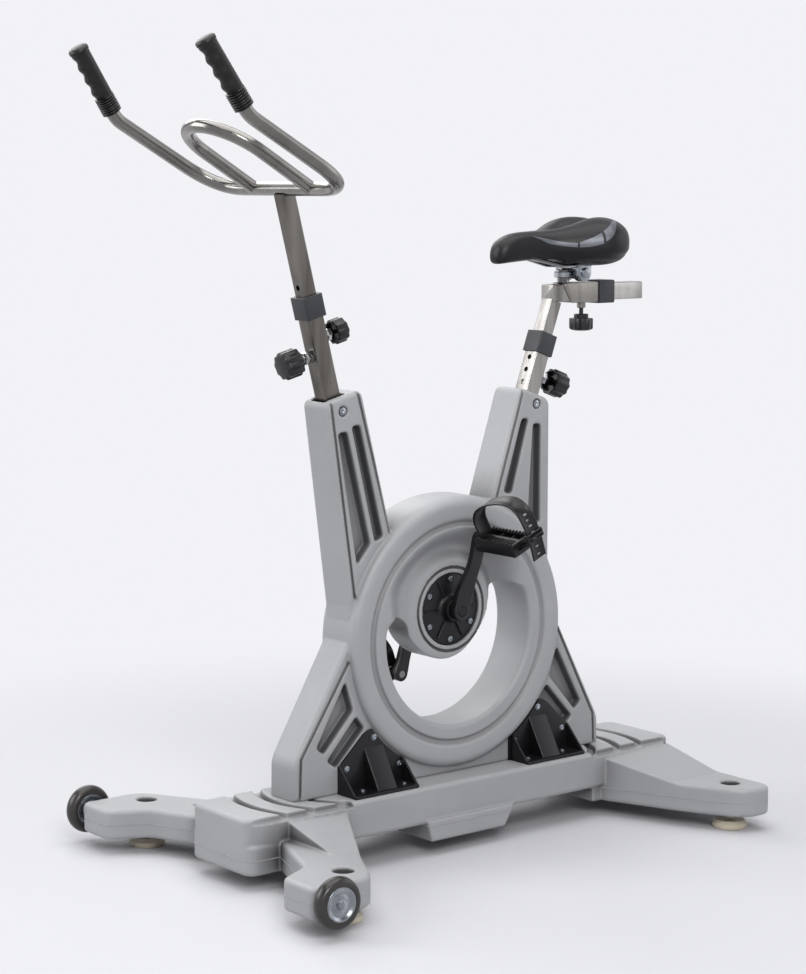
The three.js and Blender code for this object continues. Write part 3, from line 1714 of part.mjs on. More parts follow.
// The two cheeks beside the clamp's eye that hold the rails, and the bridge above it that joins them.
function railCradle() {
  const p = SADDLE_CLAMP;
  const from = p.half + GAP;
  const to = RAIL.middleHalf + RAIL.radius + p.wall;
  const cheek = (side) => {
    const round = shaft(p.eye + p.wall, from, to).translate(p.boltX, 0, CLAMP_BOLT_Z);
    const block = new THREE.BoxGeometry(2 * (p.eye + p.wall), to - from, p.eye + p.wall);
    block.translate(p.boltX, (from + to) / 2, CLAMP_BOLT_Z + (p.eye + p.wall) / 2);
    return turnedTo(join(round, block), side).translate(side > 0 ? 0 : 2 * p.boltX, 0, 0);
  };
  const bridgeFrom = CLAMP_BOLT_Z + p.eye + GAP;
  const bridgeTo = CLAMP_BOLT_Z + p.eye + p.wall;
  const bridge = new THREE.BoxGeometry(2 * p.eye, 2 * to, bridgeTo - bridgeFrom);
  bridge.translate(p.boltX, 0, (bridgeFrom + bridgeTo) / 2);
  const bore = shaft(boreFor(p.bolt), -to - RUN, to + RUN, SMALL_SIDES).translate(p.boltX, 0, CLAMP_BOLT_Z);
  const block = join(cheek(1), cheek(-1), bridge);
  return cut(block, bore, rails(RAIL.radius + GAP));
}

function rails(radius) {
  const p = RAIL;
  const half = (side) => [
    [p.frontX, side * p.frontHalf, SEAT_BAR.z + p.frontUp],
    [p.lowFrontX, side * p.middleHalf, SEAT_BAR.z + p.lowUp],
    [p.lowRearX, side * p.middleHalf, SEAT_BAR.z + p.lowUp],
    [p.rearX, side * p.rearHalf, SEAT_BAR.z + p.rearUp],
  ];
  return tube([...half(1).reverse(), ...half(-1)], radius, p.frontHalf, p.sides, p.bendSteps);
}

// The saddle's own measure at a place along it, from the table of its stations.
function saddleShare(place, column) {
  const i = Math.max(1, SADDLE_SHARES.findIndex((row) => row[0] >= place));
  const [a, b] = [SADDLE_SHARES[i - 1], SADDLE_SHARES[i]];
  return THREE.MathUtils.lerp(a[column], b[column], (place - a[0]) / (b[0] - a[0]));
}

// One closed outline across the saddle, with a crown, drawn-in sides and the channel.
function saddleSection(place) {
  const p = SADDLE;
  const form = SECTION_SHARES;
  const dent = CHANNEL_SHARES;
  const half = p.half * saddleShare(place, 1);
  const top = SEAT_BAR.z + THREE.MathUtils.lerp(p.bottomUp, p.topUp, saddleShare(place, 2));
  const low = SEAT_BAR.z + THREE.MathUtils.lerp(p.bottomUp, p.topUp, saddleShare(place, 3));
  const middle = THREE.MathUtils.lerp(low, top, form.middle);
  const dip = p.channel * smooth((place - dent.from) / dent.rise) * smooth((dent.to - place) / dent.fall);
  const points = [];
  for (let k = 0; k < p.round; k += 1) {
    const turn = (2 * Math.PI * k) / p.round;
    const wide = Math.sign(Math.cos(turn)) * Math.abs(Math.cos(turn)) ** form.widePower;
    const rise = Math.abs(Math.sin(turn));
    const upper = Math.sin(turn) > -WELD;
    const y = half * wide * (upper ? 1 : form.lowWidth);
    const over = (top - middle) * rise ** form.topPower - dip * Math.exp(-((wide / dent.half) ** 2));
    const under = (low - middle) * rise ** form.lowPower;
    points.push([THREE.MathUtils.lerp(p.rear, p.nose, place), y, middle + (upper ? over : under)]);
  }
  return points;
}

function saddle() {
  const stations = [];
  for (let i = 0; i <= SADDLE.stations; i += 1) {
    stations.push(saddleSection((1 - Math.cos((Math.PI * i) / SADDLE.stations)) / 2));
  }
  return cut(loft(stations), rails(RAIL.radius + GAP));
}

// Closes stations of equal counts of points into one solid, with a fan at each end.
function loft(stations) {
  const count = stations[0].length;
  const positions = stations.flat(2);
  const index = [];
  for (let i = 0; i < stations.length - 1; i += 1) {
    for (let k = 0; k < count; k += 1) {
      const next = (k + 1) % count;
      const [a, b] = [i * count + k, i * count + next];
      index.push(a, b, b + count, a, b + count, a + count);
    }
  }
  for (const [row, turn] of [[0, 1], [stations.length - 1, -1]]) {
    const centre = positions.length / 3;
    const mean = [0, 1, 2].map((axis) => stations[row].reduce((sum, p) => sum + p[axis], 0) / count);
    positions.push(...mean);
    for (let k = 0; k < count; k += 1) {
      const pair = [row * count + k, row * count + ((k + 1) % count)];
      index.push(centre, ...(turn > 0 ? pair.reverse() : pair));
    }
  }
  const geometry = new THREE.BufferGeometry();
  geometry.setAttribute("position", new THREE.Float32BufferAttribute(positions, 3));
  geometry.setIndex(index);
  return geometry;
}

// Assembly

function mesh(name, geometry, finish) {
  const piece = new THREE.Mesh(geometry, new THREE.MeshStandardMaterial(FINISH[finish]));
  piece.name = name;
  return piece;
}

function group(...children) {
  const made = new THREE.Group();
  made.add(...children);
  return made;
}

function brackets() {
  const geometry = bracket();
  const made = new THREE.Group();
  for (const [end, x] of Object.entries(ENDS)) {
    for (const [side, y] of Object.entries(SIDES)) {
      const piece = mesh(`bracket_${end}_${side}`, geometry, "black");
      piece.scale.set(x, y, 1);
      made.add(piece);
    }
  }
  return made;
}

function feet() {
  const made = new THREE.Group();
  for (const [end, x] of [["front", FOOT.x], ["rear", FOOT.rearX]]) {
    for (const [side, y] of Object.entries(SIDES)) {
      made.add(mesh(`foot_${end}_${side}`, foot(x, y * FOOT.y), "foot"));
    }
  }
  return made;
}

function wheels() {
  const made = new THREE.Group();
  for (const [side, y] of Object.entries(SIDES)) {
    const wheel = group(
      mesh(`tyre_${side}`, tyre(), "rubber"),
      mesh(`wheel_disc_${side}`, wheelDisc(), "zinc"),
      mesh(`wheel_bolt_${side}`, wheelBolt(), "zinc"),
    );
    wheel.position.set(WHEEL.x, y * WHEEL.y, WHEEL.z);
    wheel.rotation.z = y > 0 ? 0 : Math.PI;
    made.add(wheel);
  }
  return made;
}

// A pedal with its spindle and strap, at the end of its crank.
function pedalGroup(side, y) {
  const turn = radians(CRANK.angle);
  const spindle = mesh(`pedal_spindle_${side}`, pedalSpindle(), "chrome");
  const moving = group(
    mesh(`pedal_${side}`, pedal(), "black"),
    mesh(`toe_strap_${side}`, toeStrap(), "black"),
  );
  moving.rotation.y = y * radians(PEDAL.tilt);
  const made = group(spindle, moving);
  made.rotation.z = y > 0 ? 0 : Math.PI;
  made.position.set(
    HUB.x + y * CRANK.length * Math.cos(turn),
    0,
    HUB_Z + y * CRANK.length * Math.sin(turn),
  );
  return made;
}

function crankDrive() {
  const drive = new THREE.Group();
  drive.add(mesh("crank_axle", crankAxle(), "zinc"));
  for (const [side, y] of Object.entries(SIDES)) {
    const half = group(
      mesh(`crank_${side}`, crank(), "black"),
      mesh(`crank_cap_${side}`, crankCap(), "black"),
    );
    half.rotation.z = y > 0 ? 0 : Math.PI;
    drive.add(half);
  }
  drive.rotation.y = -radians(CRANK.angle);
  drive.position.set(HUB.x, 0, HUB_Z);
  const made = group(drive);
  for (const [side, y] of Object.entries(SIDES)) made.add(pedalGroup(side, y));
  return made;
}

function hub() {
  const made = new THREE.Group();
  for (const [side, y] of Object.entries(SIDES)) {
    const half = group(
      mesh(`hub_cover_${side}`, hubCover(), "black"),
      mesh(`bearing_${side}`, bearing(), "bronze"),
    );
    half.rotation.z = y > 0 ? 0 : Math.PI;
    made.add(half);
  }
  made.position.set(HUB.x, 0, HUB_Z);
  return made;
}

function body() {
  const made = group(mesh("body_shell", bodyShell(), "shell"));
  for (const [end, post] of [["front", FRONT_POST], ["rear", REAR_POST]]) {
    for (const [side, y] of Object.entries(SIDES)) {
      made.add(mesh(`body_bolt_${end}_${side}`, bodyBolt(post, y), "zinc"));
    }
  }
  return made;
}

function handlebarGroup() {
  const p = FRONT_POST;
  const clamp = knob(CLAMP_KNOB_RADIUS, CLAMP_KNOB_START, KNOB.height, PIN_TIP);
  return group(
    mesh("handlebar_outer_tube", frontOuterTube(), "stainless"),
    mesh("handlebar_collar", collar(p), "collar"),
    mesh("handlebar_post", frontInnerPost(), "stainless"),
    mesh("handlebar", handlebar(), "stainless"),
    mesh("grip_left", grip(1), "black"),
    mesh("grip_right", grip(-1), "black"),
    mesh("handlebar_pin_boss", onFace(boss(BOSS.sleeveHeight), p, p.pinAt, 1), "chrome"),
    mesh("handlebar_pop_pin", onFace(popPin(), p, p.pinAt, 1), "black"),
    mesh("handlebar_clamp_boss", onFace(boss(BOSS.shortSleeve), p, p.clampAt, -1), "chrome"),
    mesh("handlebar_clamp_knob", onFace(clamp, p, p.clampAt, -1), "black"),
  );
}

function seatGroup() {
  const p = REAR_POST;
  return group(
    mesh("seat_outer_tube", rearOuterTube(), "stainless"),
    mesh("seat_collar", collar(p), "collar"),
    mesh("seat_post", seatPost(), "stainless"),
    mesh("seat_pin_boss", onFace(boss(BOSS.sleeveHeight), p, p.pinAt, -1), "chrome"),
    mesh("seat_pop_pin", onFace(popPin(), p, p.pinAt, -1), "black"),
    mesh("carriage", carriage(), "stainless"),
    mesh("carriage_collar", carriageCollar(), "collar"),
    mesh("carriage_clamp_knob", carriageKnob(), "black"),
    mesh("saddle_pillar", pillar(), "chrome"),
    mesh("saddle_clamp", saddleClamp(), "zinc"),
    mesh("saddle_clamp_bolt", saddleClampBolt(), "zinc"),
    mesh("rail_cradle", railCradle(), "zinc"),
    mesh("saddle_rails", rails(RAIL.radius), "chrome"),
    mesh("saddle", saddle(), "vinyl"),
  );
}

// The origin is on the floor, below the middle of the whole part.
const root = group(
  mesh("base", base(), "shell"),
  feet(),
  wheels(),
  body(),
  brackets(),
  hub(),
  crankDrive(),
  handlebarGroup(),
  seatGroup(),
);
const middle = new THREE.Box3().setFromObject(root, true).getCenter(new THREE.Vector3());
root.position.x = -middle.x;

export default root;
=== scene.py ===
import math

import bmesh
import bpy
import numpy as np
from mathutils import Matrix, Vector

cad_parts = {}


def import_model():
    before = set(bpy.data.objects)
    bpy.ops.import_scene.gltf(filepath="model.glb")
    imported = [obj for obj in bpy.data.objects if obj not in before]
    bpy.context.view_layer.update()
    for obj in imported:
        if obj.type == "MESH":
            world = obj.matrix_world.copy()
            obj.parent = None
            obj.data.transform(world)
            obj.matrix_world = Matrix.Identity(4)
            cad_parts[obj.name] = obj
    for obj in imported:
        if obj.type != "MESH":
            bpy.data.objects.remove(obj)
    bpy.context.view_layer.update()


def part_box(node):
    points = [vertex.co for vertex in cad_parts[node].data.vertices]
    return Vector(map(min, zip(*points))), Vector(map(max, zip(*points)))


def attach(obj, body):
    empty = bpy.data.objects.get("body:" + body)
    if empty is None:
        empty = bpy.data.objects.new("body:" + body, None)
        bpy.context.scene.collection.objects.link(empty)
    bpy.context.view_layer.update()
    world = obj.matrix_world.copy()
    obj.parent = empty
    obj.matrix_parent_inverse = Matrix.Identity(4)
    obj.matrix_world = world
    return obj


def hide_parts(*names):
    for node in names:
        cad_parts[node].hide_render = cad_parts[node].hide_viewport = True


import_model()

# Drawn in millimetres, with X = 0 at the base's middle. The base's rear end gives the place in the frame.
BASE_REAR = -465.0
SHIFT = BASE_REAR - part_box("base")[0].x * 1000.0


def place(p):
    return ((p[0] - SHIFT) / 1000.0, p[1] / 1000.0, p[2] / 1000.0)


def solid_box(name):
    """The least and the greatest corner of one of the part's solids, in drawing millimetres."""
    return [[round(v * 1000.0 + start, 2) for v, start in zip(corner, (SHIFT, 0, 0))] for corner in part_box(name)]


def centre(name):
    return [round((low + high) / 2, 2) for low, high in zip(*solid_box(name))]


# Materials

def node(tree, kind, **values):
    return fill(tree, tree.nodes.new(kind), **values)


def fill(tree, made, **values):
    """Sets a shader node. Values that start with in_ go to its inputs, by name or number, and a socket is linked to
    them; the others are its settings."""
    for key, value in values.items():
        name = key[3:].replace("_", " ")
        if not key.startswith("in_"):
            setattr(made, key, value)
        elif isinstance(value, bpy.types.NodeSocket):
            tree.links.new(value, made.inputs[int(name) if name.isdigit() else name])
        else:
            made.inputs[int(name) if name.isdigit() else name].default_value = value
    return made


def colour_ramp(tree, share, *stops):
    made = node(tree, "ShaderNodeValToRGB", in_Fac=share)
    for element, (position, color) in zip(made.color_ramp.elements, stops):
        element.position, element.color = position, (*color, 1)
    return made.outputs["Color"]


def material(name, tint, rough, metal=0.0, specular=0.5, cells=False, grain=0.1, grain_scale=300.0, tint_scale=4.0,
             rough_spread=0.06, stretch=(1, 1, 1), turn=(0, 0, 0), hollow=None, rim=None):
    """A procedural material: slow variation about a colour or between two, a varying roughness and a fine grain.

    hollow paints shade into the recesses narrower than its distance; rim paints dark and bright reflection bands onto
    polished metal, darker where it faces the view."""
    mat = bpy.data.materials.new(name)
    mat.use_nodes = True
    tree = mat.node_tree
    at = node(tree, "ShaderNodeMapping", in_Vector=node(tree, "ShaderNodeTexCoord").outputs["Object"],
              in_Scale=stretch, in_Rotation=turn).outputs["Vector"]
    slow = node(tree, "ShaderNodeTexNoise", in_Vector=at, in_Scale=tint_scale, in_Detail=5.0,
                in_Roughness=0.6).outputs["Fac"]
    spread = node(tree, "ShaderNodeMapRange", in_Value=slow, in_3=max(0.02, rough - rough_spread),
                  in_4=rough + rough_spread)
    if cells:
        fine = node(tree, "ShaderNodeTexVoronoi", in_Vector=at, in_Scale=grain_scale).outputs["Distance"]
    else:
        fine = node(tree, "ShaderNodeTexNoise", in_Vector=at, in_Scale=grain_scale, in_Detail=3.0).outputs["Fac"]
    bump = node(tree, "ShaderNodeBump", in_Height=fine, in_Strength=grain, in_Distance=0.001)
    low, high = tint if len(tint) == 2 else ([c * 0.93 for c in tint], [c * 1.06 for c in tint])
    shown, shade = colour_ramp(tree, slow, (0.3, low), (0.7, high)), None
    # Painted shade: ambient occlusion darkens the colour in narrow recesses.
    if hollow:
        near = node(tree, "ShaderNodeAmbientOcclusion", only_local=True, in_Distance=hollow[0]).outputs["AO"]
        shade = node(tree, "ShaderNodeMapRange", in_Value=near, in_1=0.45, in_2=0.97, in_3=hollow[1])
    # Painted reflection: the colour is darkened where the metal faces the view and kept full towards its edges, as dark
    # and bright bands.
    if rim:
        facing = node(tree, "ShaderNodeLayerWeight", in_Blend=0.5).outputs["Facing"]
        shade = node(tree, "ShaderNodeMapRange", interpolation_type="SMOOTHSTEP", in_Value=facing, in_1=0.12,
                     in_2=0.6, in_3=rim)
    if shade:
        shown = node(tree, "ShaderNodeVectorMath", operation="SCALE", in_0=shown,
                     in_Scale=shade.outputs["Result"]).outputs["Vector"]
    fill(tree, tree.nodes["Principled BSDF"], in_Metallic=metal, in_Specular_IOR_Level=specular, in_Base_Color=shown,
         in_Roughness=spread.outputs["Result"], in_Normal=bump.outputs["Normal"])
    return mat


def brushed(name, lean, low, high):
    """Stainless tube brushed along its own length, with long pale and dark streaks."""
    return material(name, (low, high), 0.3, metal=1.0, grain_scale=500, tint_scale=30, rough_spread=0.1,
                    stretch=(1, 1, 0.05), turn=(0, math.radians(lean), 0))


FRONT_LEAN, REAR_LEAN = 14.5, -20.2
MAT = {
    # The shell's colour is darkened in its pockets and grooves by painted shade (hollow).
    "shell": material("shell_polyethylene", ((0.308, 0.311, 0.323), (0.352, 0.355, 0.368)), 0.44, specular=0.4,
                      grain=0.16, grain_scale=420, tint_scale=5, hollow=(0.065, 0.2)),
    "black": material("black_moulded_plastic", ((0.004, 0.004, 0.005), (0.011, 0.011, 0.012)), 0.34, specular=0.3,
                      cells=True, grain=0.12, grain_scale=900),
    "knob": material("black_knob_plastic", (0.005, 0.005, 0.006), 0.3, specular=0.4, grain_scale=700),
    "collar": material("charcoal_collar", ((0.024, 0.025, 0.029), (0.038, 0.039, 0.045)), 0.42, specular=0.35,
                       cells=True, grain=0.12, grain_scale=800, tint_scale=20),
    "crank": material("black_coated_crank", ((0.005, 0.005, 0.006), (0.012, 0.012, 0.013)), 0.3, specular=0.35,
                      grain=0.08, grain_scale=600, tint_scale=18),
    "tyre": material("tyre_rubber", ((0.016, 0.014, 0.013), (0.034, 0.03, 0.028)), 0.3, specular=0.45, grain=0.12,
                     grain_scale=500, tint_scale=25),
    "grip": material("grip_rubber", (0.005, 0.005, 0.005), 0.36, specular=0.3, cells=True, grain=0.07,
                     grain_scale=900),
    "strap": material("strap_rubber", (0.006, 0.006, 0.007), 0.36, specular=0.3, grain_scale=800),
    "foot": material("ivory_foot", ((0.52, 0.46, 0.34), (0.68, 0.62, 0.5)), 0.5, grain=0.15, tint_scale=22),
    # rim paints a dark reflection into the zinc's colour where it faces the view.
    "zinc": material("zinc_plated_steel", ((0.38, 0.41, 0.45), (0.6, 0.63, 0.67)), 0.27, metal=1.0, grain=0.08,
                     grain_scale=400, tint_scale=60, rim=0.45),
    # rim paints a dark reflection into the chrome's colour where it faces the view.
    "chrome": material("polished_chrome", (0.72, 0.72, 0.73), 0.1, metal=1.0, grain=0.02, rough_spread=0.04,
                       rim=0.16),
    "bronze": material("bronze_bearing", (0.45, 0.3, 0.13), 0.35, metal=1.0, grain=0.05),
    # rim paints a dark reflection into the bar's colour where it faces the view.
    "bar": material("stainless_bar", ((0.22, 0.21, 0.198), (0.33, 0.318, 0.3)), 0.2, metal=1.0, grain=0.02,
                    grain_scale=260, tint_scale=14, rough_spread=0.05, rim=0.6),
    "stripe": material("saddle_stripe", (0.1, 0.105, 0.12), 0.34, metal=0.4, specular=0.35, cells=True,
                       grain_scale=900),
    "vinyl": material("saddle_vinyl", ((0.004, 0.004, 0.005), (0.01, 0.01, 0.012)), 0.4, specular=0.25, cells=True,
                      grain=0.08, grain_scale=700),
    # One brushed steel: the front post's darker tint is painted shade and the rear post's paler tint is painted light.
    "front_post": brushed("brushed_front_post", -FRONT_LEAN, (0.06, 0.054, 0.047), (0.21, 0.197, 0.18)),
    "rear_post": brushed("brushed_rear_post", -REAR_LEAN, (0.17, 0.16, 0.148), (0.5, 0.485, 0.46)),
    "seat_bar": brushed("brushed_seat_bar", 90, (0.13, 0.121, 0.11), (0.34, 0.322, 0.3)),
}


# Outlines and lines

def ease(share):
    s = min(1.0, max(0.0, share))
    return s * s * (3 - 2 * s)


def swell(turns):
    """A wave from 0 to 1 and back in each turn."""
    return 0.5 - 0.5 * math.cos(2 * math.pi * turns)


def curve(a, b, c, t):
    """A point on the round from a to c whose corner is b."""
    return (1 - t) ** 2 * a + 2 * t * (1 - t) * b + t * t * c


def rounded(points, radius, steps=6):
    """The closed outline with its corners rounded, by one radius or one for each corner."""
    pts = [np.array(p, float) for p in points]
    radii = radius if isinstance(radius, list) else [radius] * len(pts)
    out = []
    for before, at, after, wanted in zip(pts[-1:] + pts, pts, pts[1:] + pts[:1], radii):
        back = min(wanted, np.linalg.norm(at - before) / 2, np.linalg.norm(at - after) / 2)
        if back <= 0:
            out.append(tuple(at))
            continue
        enter = at + (before - at) / np.linalg.norm(before - at) * back
        leave = at + (after - at) / np.linalg.norm(after - at) * back
        out += [tuple(curve(enter, at, leave, k / steps)) for k in range(steps + 1)]
    return out


def inset(points, distance):
    """The outline moved inwards by the distance (outwards if it is negative)."""
    pts = np.array(points, float)
    onward = np.roll(pts, -1, axis=0)
    if np.sum(pts[:, 0] * onward[:, 1] - onward[:, 0] * pts[:, 1]) < 0:
        distance = -distance
    before, after = pts - np.roll(pts, 1, axis=0), onward - pts
    before /= np.maximum(np.linalg.norm(before, axis=1, keepdims=True), 1e-9)
    after /= np.maximum(np.linalg.norm(after, axis=1, keepdims=True), 1e-9)
    normal = np.stack([-(before[:, 1] + after[:, 1]), before[:, 0] + after[:, 0]], axis=1)
    length = np.maximum(np.linalg.norm(normal, axis=1, keepdims=True), 1e-9)
    normal /= length
    scale = 1.0 / np.maximum(length[:, 0] / 2, 0.4)
    return [tuple(p) for p in pts + normal * (distance * scale)[:, None]]


def circle(radius, count):
    return [(radius * math.cos(2 * math.pi * i / count), radius * math.sin(2 * math.pi * i / count))
            for i in range(count)]


def box(x0, x1, y0, y1):
    return [(x0, y0), (x1, y0), (x1, y1), (x0, y1)]


def square(size, corner):
    return rounded(box(-size / 2, size / 2, -size / 2, size / 2), corner, 4)


def bent(corners, radii, steps=8):
    """A line through the corners with a round at each inner one."""
    pts = [Vector(c) for c in corners]
    out = [pts[0]]
    for before, at, after, back in zip(pts, pts[1:], pts[2:], radii):
        enter = at + (before - at).normalized() * back
        leave = at + (after - at).normalized() * back
        out += [curve(enter, at, leave, k / steps) for k in range(steps + 1)]
    return out + [pts[-1]]


def spline(points, steps):
    """A smooth line through the points."""
    pts = [Vector(p) for p in points]
    out = []
    for i in range(len(pts) - 1):
        p0, p1 = pts[max(i - 1, 0)], pts[i]
        p2, p3 = pts[i + 1], pts[min(i + 2, len(pts) - 1)]
        for k in range(steps):
            t = k / steps
            out.append(0.5 * ((2 * p1) + (p2 - p0) * t + (2 * p0 - 5 * p1 + 4 * p2 - p3) * t * t
                              + (3 * p1 - p0 - 3 * p2 + p3) * t ** 3))
    return out + [pts[-1]]


# Solids: vertices and faces in millimetres

def loft(rows):
    """Closes rows of equal counts of points into one solid."""
    n = len(rows[0])
    faces = [[i * n + k, i * n + (k + 1) % n, (i + 1) * n + (k + 1) % n, (i + 1) * n + k]
             for i in range(len(rows) - 1) for k in range(n)]
    last = (len(rows) - 1) * n
    faces += [list(range(n))[::-1], list(range(last, last + n))]
    return [tuple(p) for row in rows for p in row], faces


AXES = {"xy": lambda u, v, w: (u, v, w), "xz": lambda u, v, w: (u, w, v), "yz": lambda u, v, w: (w, u, v)}


def stack(layers, plane):
    """Joins outlines of equal counts at rising heights into one closed solid."""
    return loft([[AXES[plane](u, v, height) for u, v in points] for points, height in layers])


def slab(points, low, high, edge, plane="xz", steps=3):
    """An outline with thickness, its two rims rounded by edge."""
    if not edge:
        return stack([(points, low), (points, high)], plane)
    turns = [math.pi / 2 * k / steps for k in range(steps + 1)]
    rims = [(inset(points, edge * (1 - math.sin(turn))), edge * (1 - math.cos(turn))) for turn in turns]
    return stack([(rim, low + up) for rim, up in rims] + [(rim, high - up) for rim, up in rims[::-1]], plane)


def square_bar(size, corner, low, high):
    return slab(square(size, corner), low, high, 0, "xy")


def block(x0, x1, y0, y1, z0, z1, edge):
    return slab(rounded(box(x0, x1, y0, y1), edge, 3), z0, z1, edge, "xy", 2)


TURNS = {"y": lambda r, h, a: (r * math.cos(a), h, r * math.sin(a)),
         "z": lambda r, h, a: (r * math.cos(a), r * math.sin(a), h),
         "x": lambda r, h, a: (h, r * math.cos(a), r * math.sin(a))}


def lathe(profile, count=48, axis="y"):
    """A profile of (radius, height) turned about an axis, closed by a fan where its ends have no radius."""
    verts, faces, rings = [], [], []
    for radius, height in profile:
        sides = count if radius else 1
        rings.append(range(len(verts), len(verts) + sides))
        verts += [TURNS[axis](radius, height, 2 * math.pi * i / count) for i in range(sides)]
    pairs = list(zip(rings, rings[1:]))
    if profile[0][0]:
        pairs.append((rings[-1], rings[0]))
    for a, b in pairs:
        for i in range(count):
            j = (i + 1) % count
            corners = (a[i % len(a)], a[j % len(a)], b[j % len(b)], b[i % len(b)])
            faces.append(list(dict.fromkeys(corners)))
    return verts, faces


def cylinder(radius, low, high, count=24, axis="y"):
    return lathe([(0, low), (radius, low), (radius, high), (0, high)], count, axis)


def sweep(path, radius, count=28, section=None, up=None):
    """A tube along the path, or the section's outline carried along it."""
    pts = [Vector(p) for p in path]
    shape = section or circle(1, count)
    rows, normal = [], None
    for i, p in enumerate(pts):
        along = (pts[min(i + 1, len(pts) - 1)] - pts[max(i - 1, 0)]).normalized()
        if normal is None:
            normal = Vector(up) if up else (Vector((0, 0, 1)) if abs(along.z) < 0.9 else Vector((1, 0, 0)))
            normal = (normal - along * normal.dot(along)).normalized()
        normal = (normal - along * normal.dot(along)).normalized()
        side = along.cross(normal)
        rows.append([p + side * (u * radius) + normal * (v * radius) for u, v in shape])
    return loft(rows)


def moved(solid, matrix):
    return [tuple(matrix @ Vector(v)) for v in solid[0]], solid[1]


def shift(x, y, z):
    return Matrix.Translation((x, y, z))


def turned(degrees, axis):
    return Matrix.Rotation(math.radians(degrees), 4, axis)


def turn_to(side):
    """Turns a piece drawn towards + to the given side."""
    return Matrix.Rotation(0 if side > 0 else math.pi, 4, "Z")


# Joining and cutting

def face_outwards(mesh, split):
    tool = bmesh.new()
    tool.from_mesh(mesh)
    if split:
        bmesh.ops.triangulate(tool, faces=[f for f in tool.faces if len(f.verts) > 4])
    bmesh.ops.recalc_face_normals(tool, faces=tool.faces)
    tool.to_mesh(mesh)
    tool.free()


def linked(name, data):
    obj = bpy.data.objects.new(name, data)
    bpy.context.scene.collection.objects.link(obj)
    return obj


def loose(solid, name="tool"):
    """A linked object in millimetres, for booleans."""
    mesh = bpy.data.meshes.new(name)
    mesh.from_pydata(solid[0], [], solid[1])
    face_outwards(mesh, True)
    return linked(name, mesh)


def evaluated(obj):
    graph = bpy.context.evaluated_depsgraph_get()
    graph.update()
    made = bpy.data.meshes.new_from_object(obj.evaluated_get(graph))
    obj.modifiers.clear()
    obj.data = made


def combine(first, others, operation):
    for other in others:
        step = first.modifiers.new("step", "BOOLEAN")
        step.solver, step.operation, step.object = "MANIFOLD", operation, other
        evaluated(first)
        bpy.data.objects.remove(other)
    return first


def carve(solid, tools, operation="DIFFERENCE"):
    """The solid with the tools cut away from it or joined to it, in the same form."""
    obj = combine(loose(solid), [loose(t) for t in tools], operation)
    made = [tuple(v.co) for v in obj.data.vertices], [list(p.vertices) for p in obj.data.polygons]
    bpy.data.objects.remove(obj)
    return made


def mould(pieces, cutters, name, rounds=4):
    """One moulded piece: the pieces joined, the cutters taken away, and every edge softened."""
    solid = combine(loose(pieces[0], name), [loose(p) for p in pieces[1:]], "UNION")
    combine(solid, [loose(c) for c in cutters], "DIFFERENCE")
    again = solid.modifiers.new("again", "REMESH")
    again.mode, again.voxel_size, again.use_smooth_shade = "VOXEL", VOXEL, True
    soft = solid.modifiers.new("soft", "SMOOTH")
    soft.factor, soft.iterations = 0.5, rounds
    evaluated(solid)
    solid.data.transform(shift(-SHIFT, 0, 0))
    solid.data.transform(Matrix.Scale(0.001, 4))
    solid.data.name = name
    return solid


# Pieces of the model

class Solid:
    """Vertices and faces that grow by pieces, then become one piece of the model."""

    def __init__(self, solid=None, matrix=None):
        self.verts, self.faces, self.mats = [], [], []
        if solid:
            self.add(solid, matrix)

    def add(self, solid, matrix=None, mat=0):
        start = len(self.verts)
        verts, faces = moved(solid, matrix) if matrix else solid
        self.verts += verts
        self.faces += [[start + i for i in f] for f in faces]
        self.mats += [mat] * len(faces)
        return self

    def build(self, name, body, mats, replaced=None, angle=40):
        made = bpy.data.meshes.new(name)
        made.from_pydata([place(v) for v in self.verts], [], self.faces)
        for polygon, index in zip(made.polygons, self.mats):
            polygon.material_index = index
        made.validate()
        face_outwards(made, False)
        return finish(linked(name, made), body, mats, replaced, angle)


def finish(obj, body, mats, replaced, angle):
    """Gives a piece its body, its materials and smooth shading that keeps the edges sharper than the angle."""
    mats = [mats] if isinstance(mats, str) else mats
    obj.data.materials.clear()
    for mat in mats:
        obj.data.materials.append(MAT[mat])
    obj.data.polygons.foreach_set("use_smooth", [True] * len(obj.data.polygons))
    tool = bmesh.new()
    tool.from_mesh(obj.data)
    for edge in tool.edges:
        edge.smooth = len(edge.link_faces) == 2 and edge.calc_face_angle(0.0) < math.radians(angle)
    tool.to_mesh(obj.data)
    tool.free()
    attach(obj, body)
    if replaced:
        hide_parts(replaced)
    return obj


# The body: slab with two arms and two legs, the ring with its dish, and the crescent opening

SIDES = {"left": 1, "right": -1}
ENDS = {"front": 1, "rear": -1}
GAP = 0.3
FAR = 60.0
VOXEL = 1.5
HALF, EDGE, CORNER, FLOOR_TOP = 34.0, 7.0, 13.0, solid_box("base")[1][2]
RING_Z, RING_OUT, RING_HALF, LIP_R, BAND = 355.0, 229.0, solid_box("body_shell")[1][1], 155.0, 44.5
HUB = centre("crank_axle")[::2]
COVER_R = solid_box("hub_cover_left")[1][2] - HUB[1]
HUB_HALF, BOSS_R, BOSS_RIM, HUB_FLOOR = 30.0, 80.0, 72.0, 20.0
DISH_R, DISH_AHEAD, DISH_BEHIND, LIP_SHARE, FALL_SHARE = 179.0, 24, 12, 0.32, 0.62
CROWN, CROWN_RIM, ARMS_END = 17, 22, 192
# The groove inside the ring's crown, as (radius, half thickness)
RING_GROOVE = [(204, 45.8), (198, 45.4), (194, 45.0), (190.5, 43.8), (188, 41.5), (186, 39.6), (183.5, 39.4),
               (181.5, 40.5), (180, 42.4)]
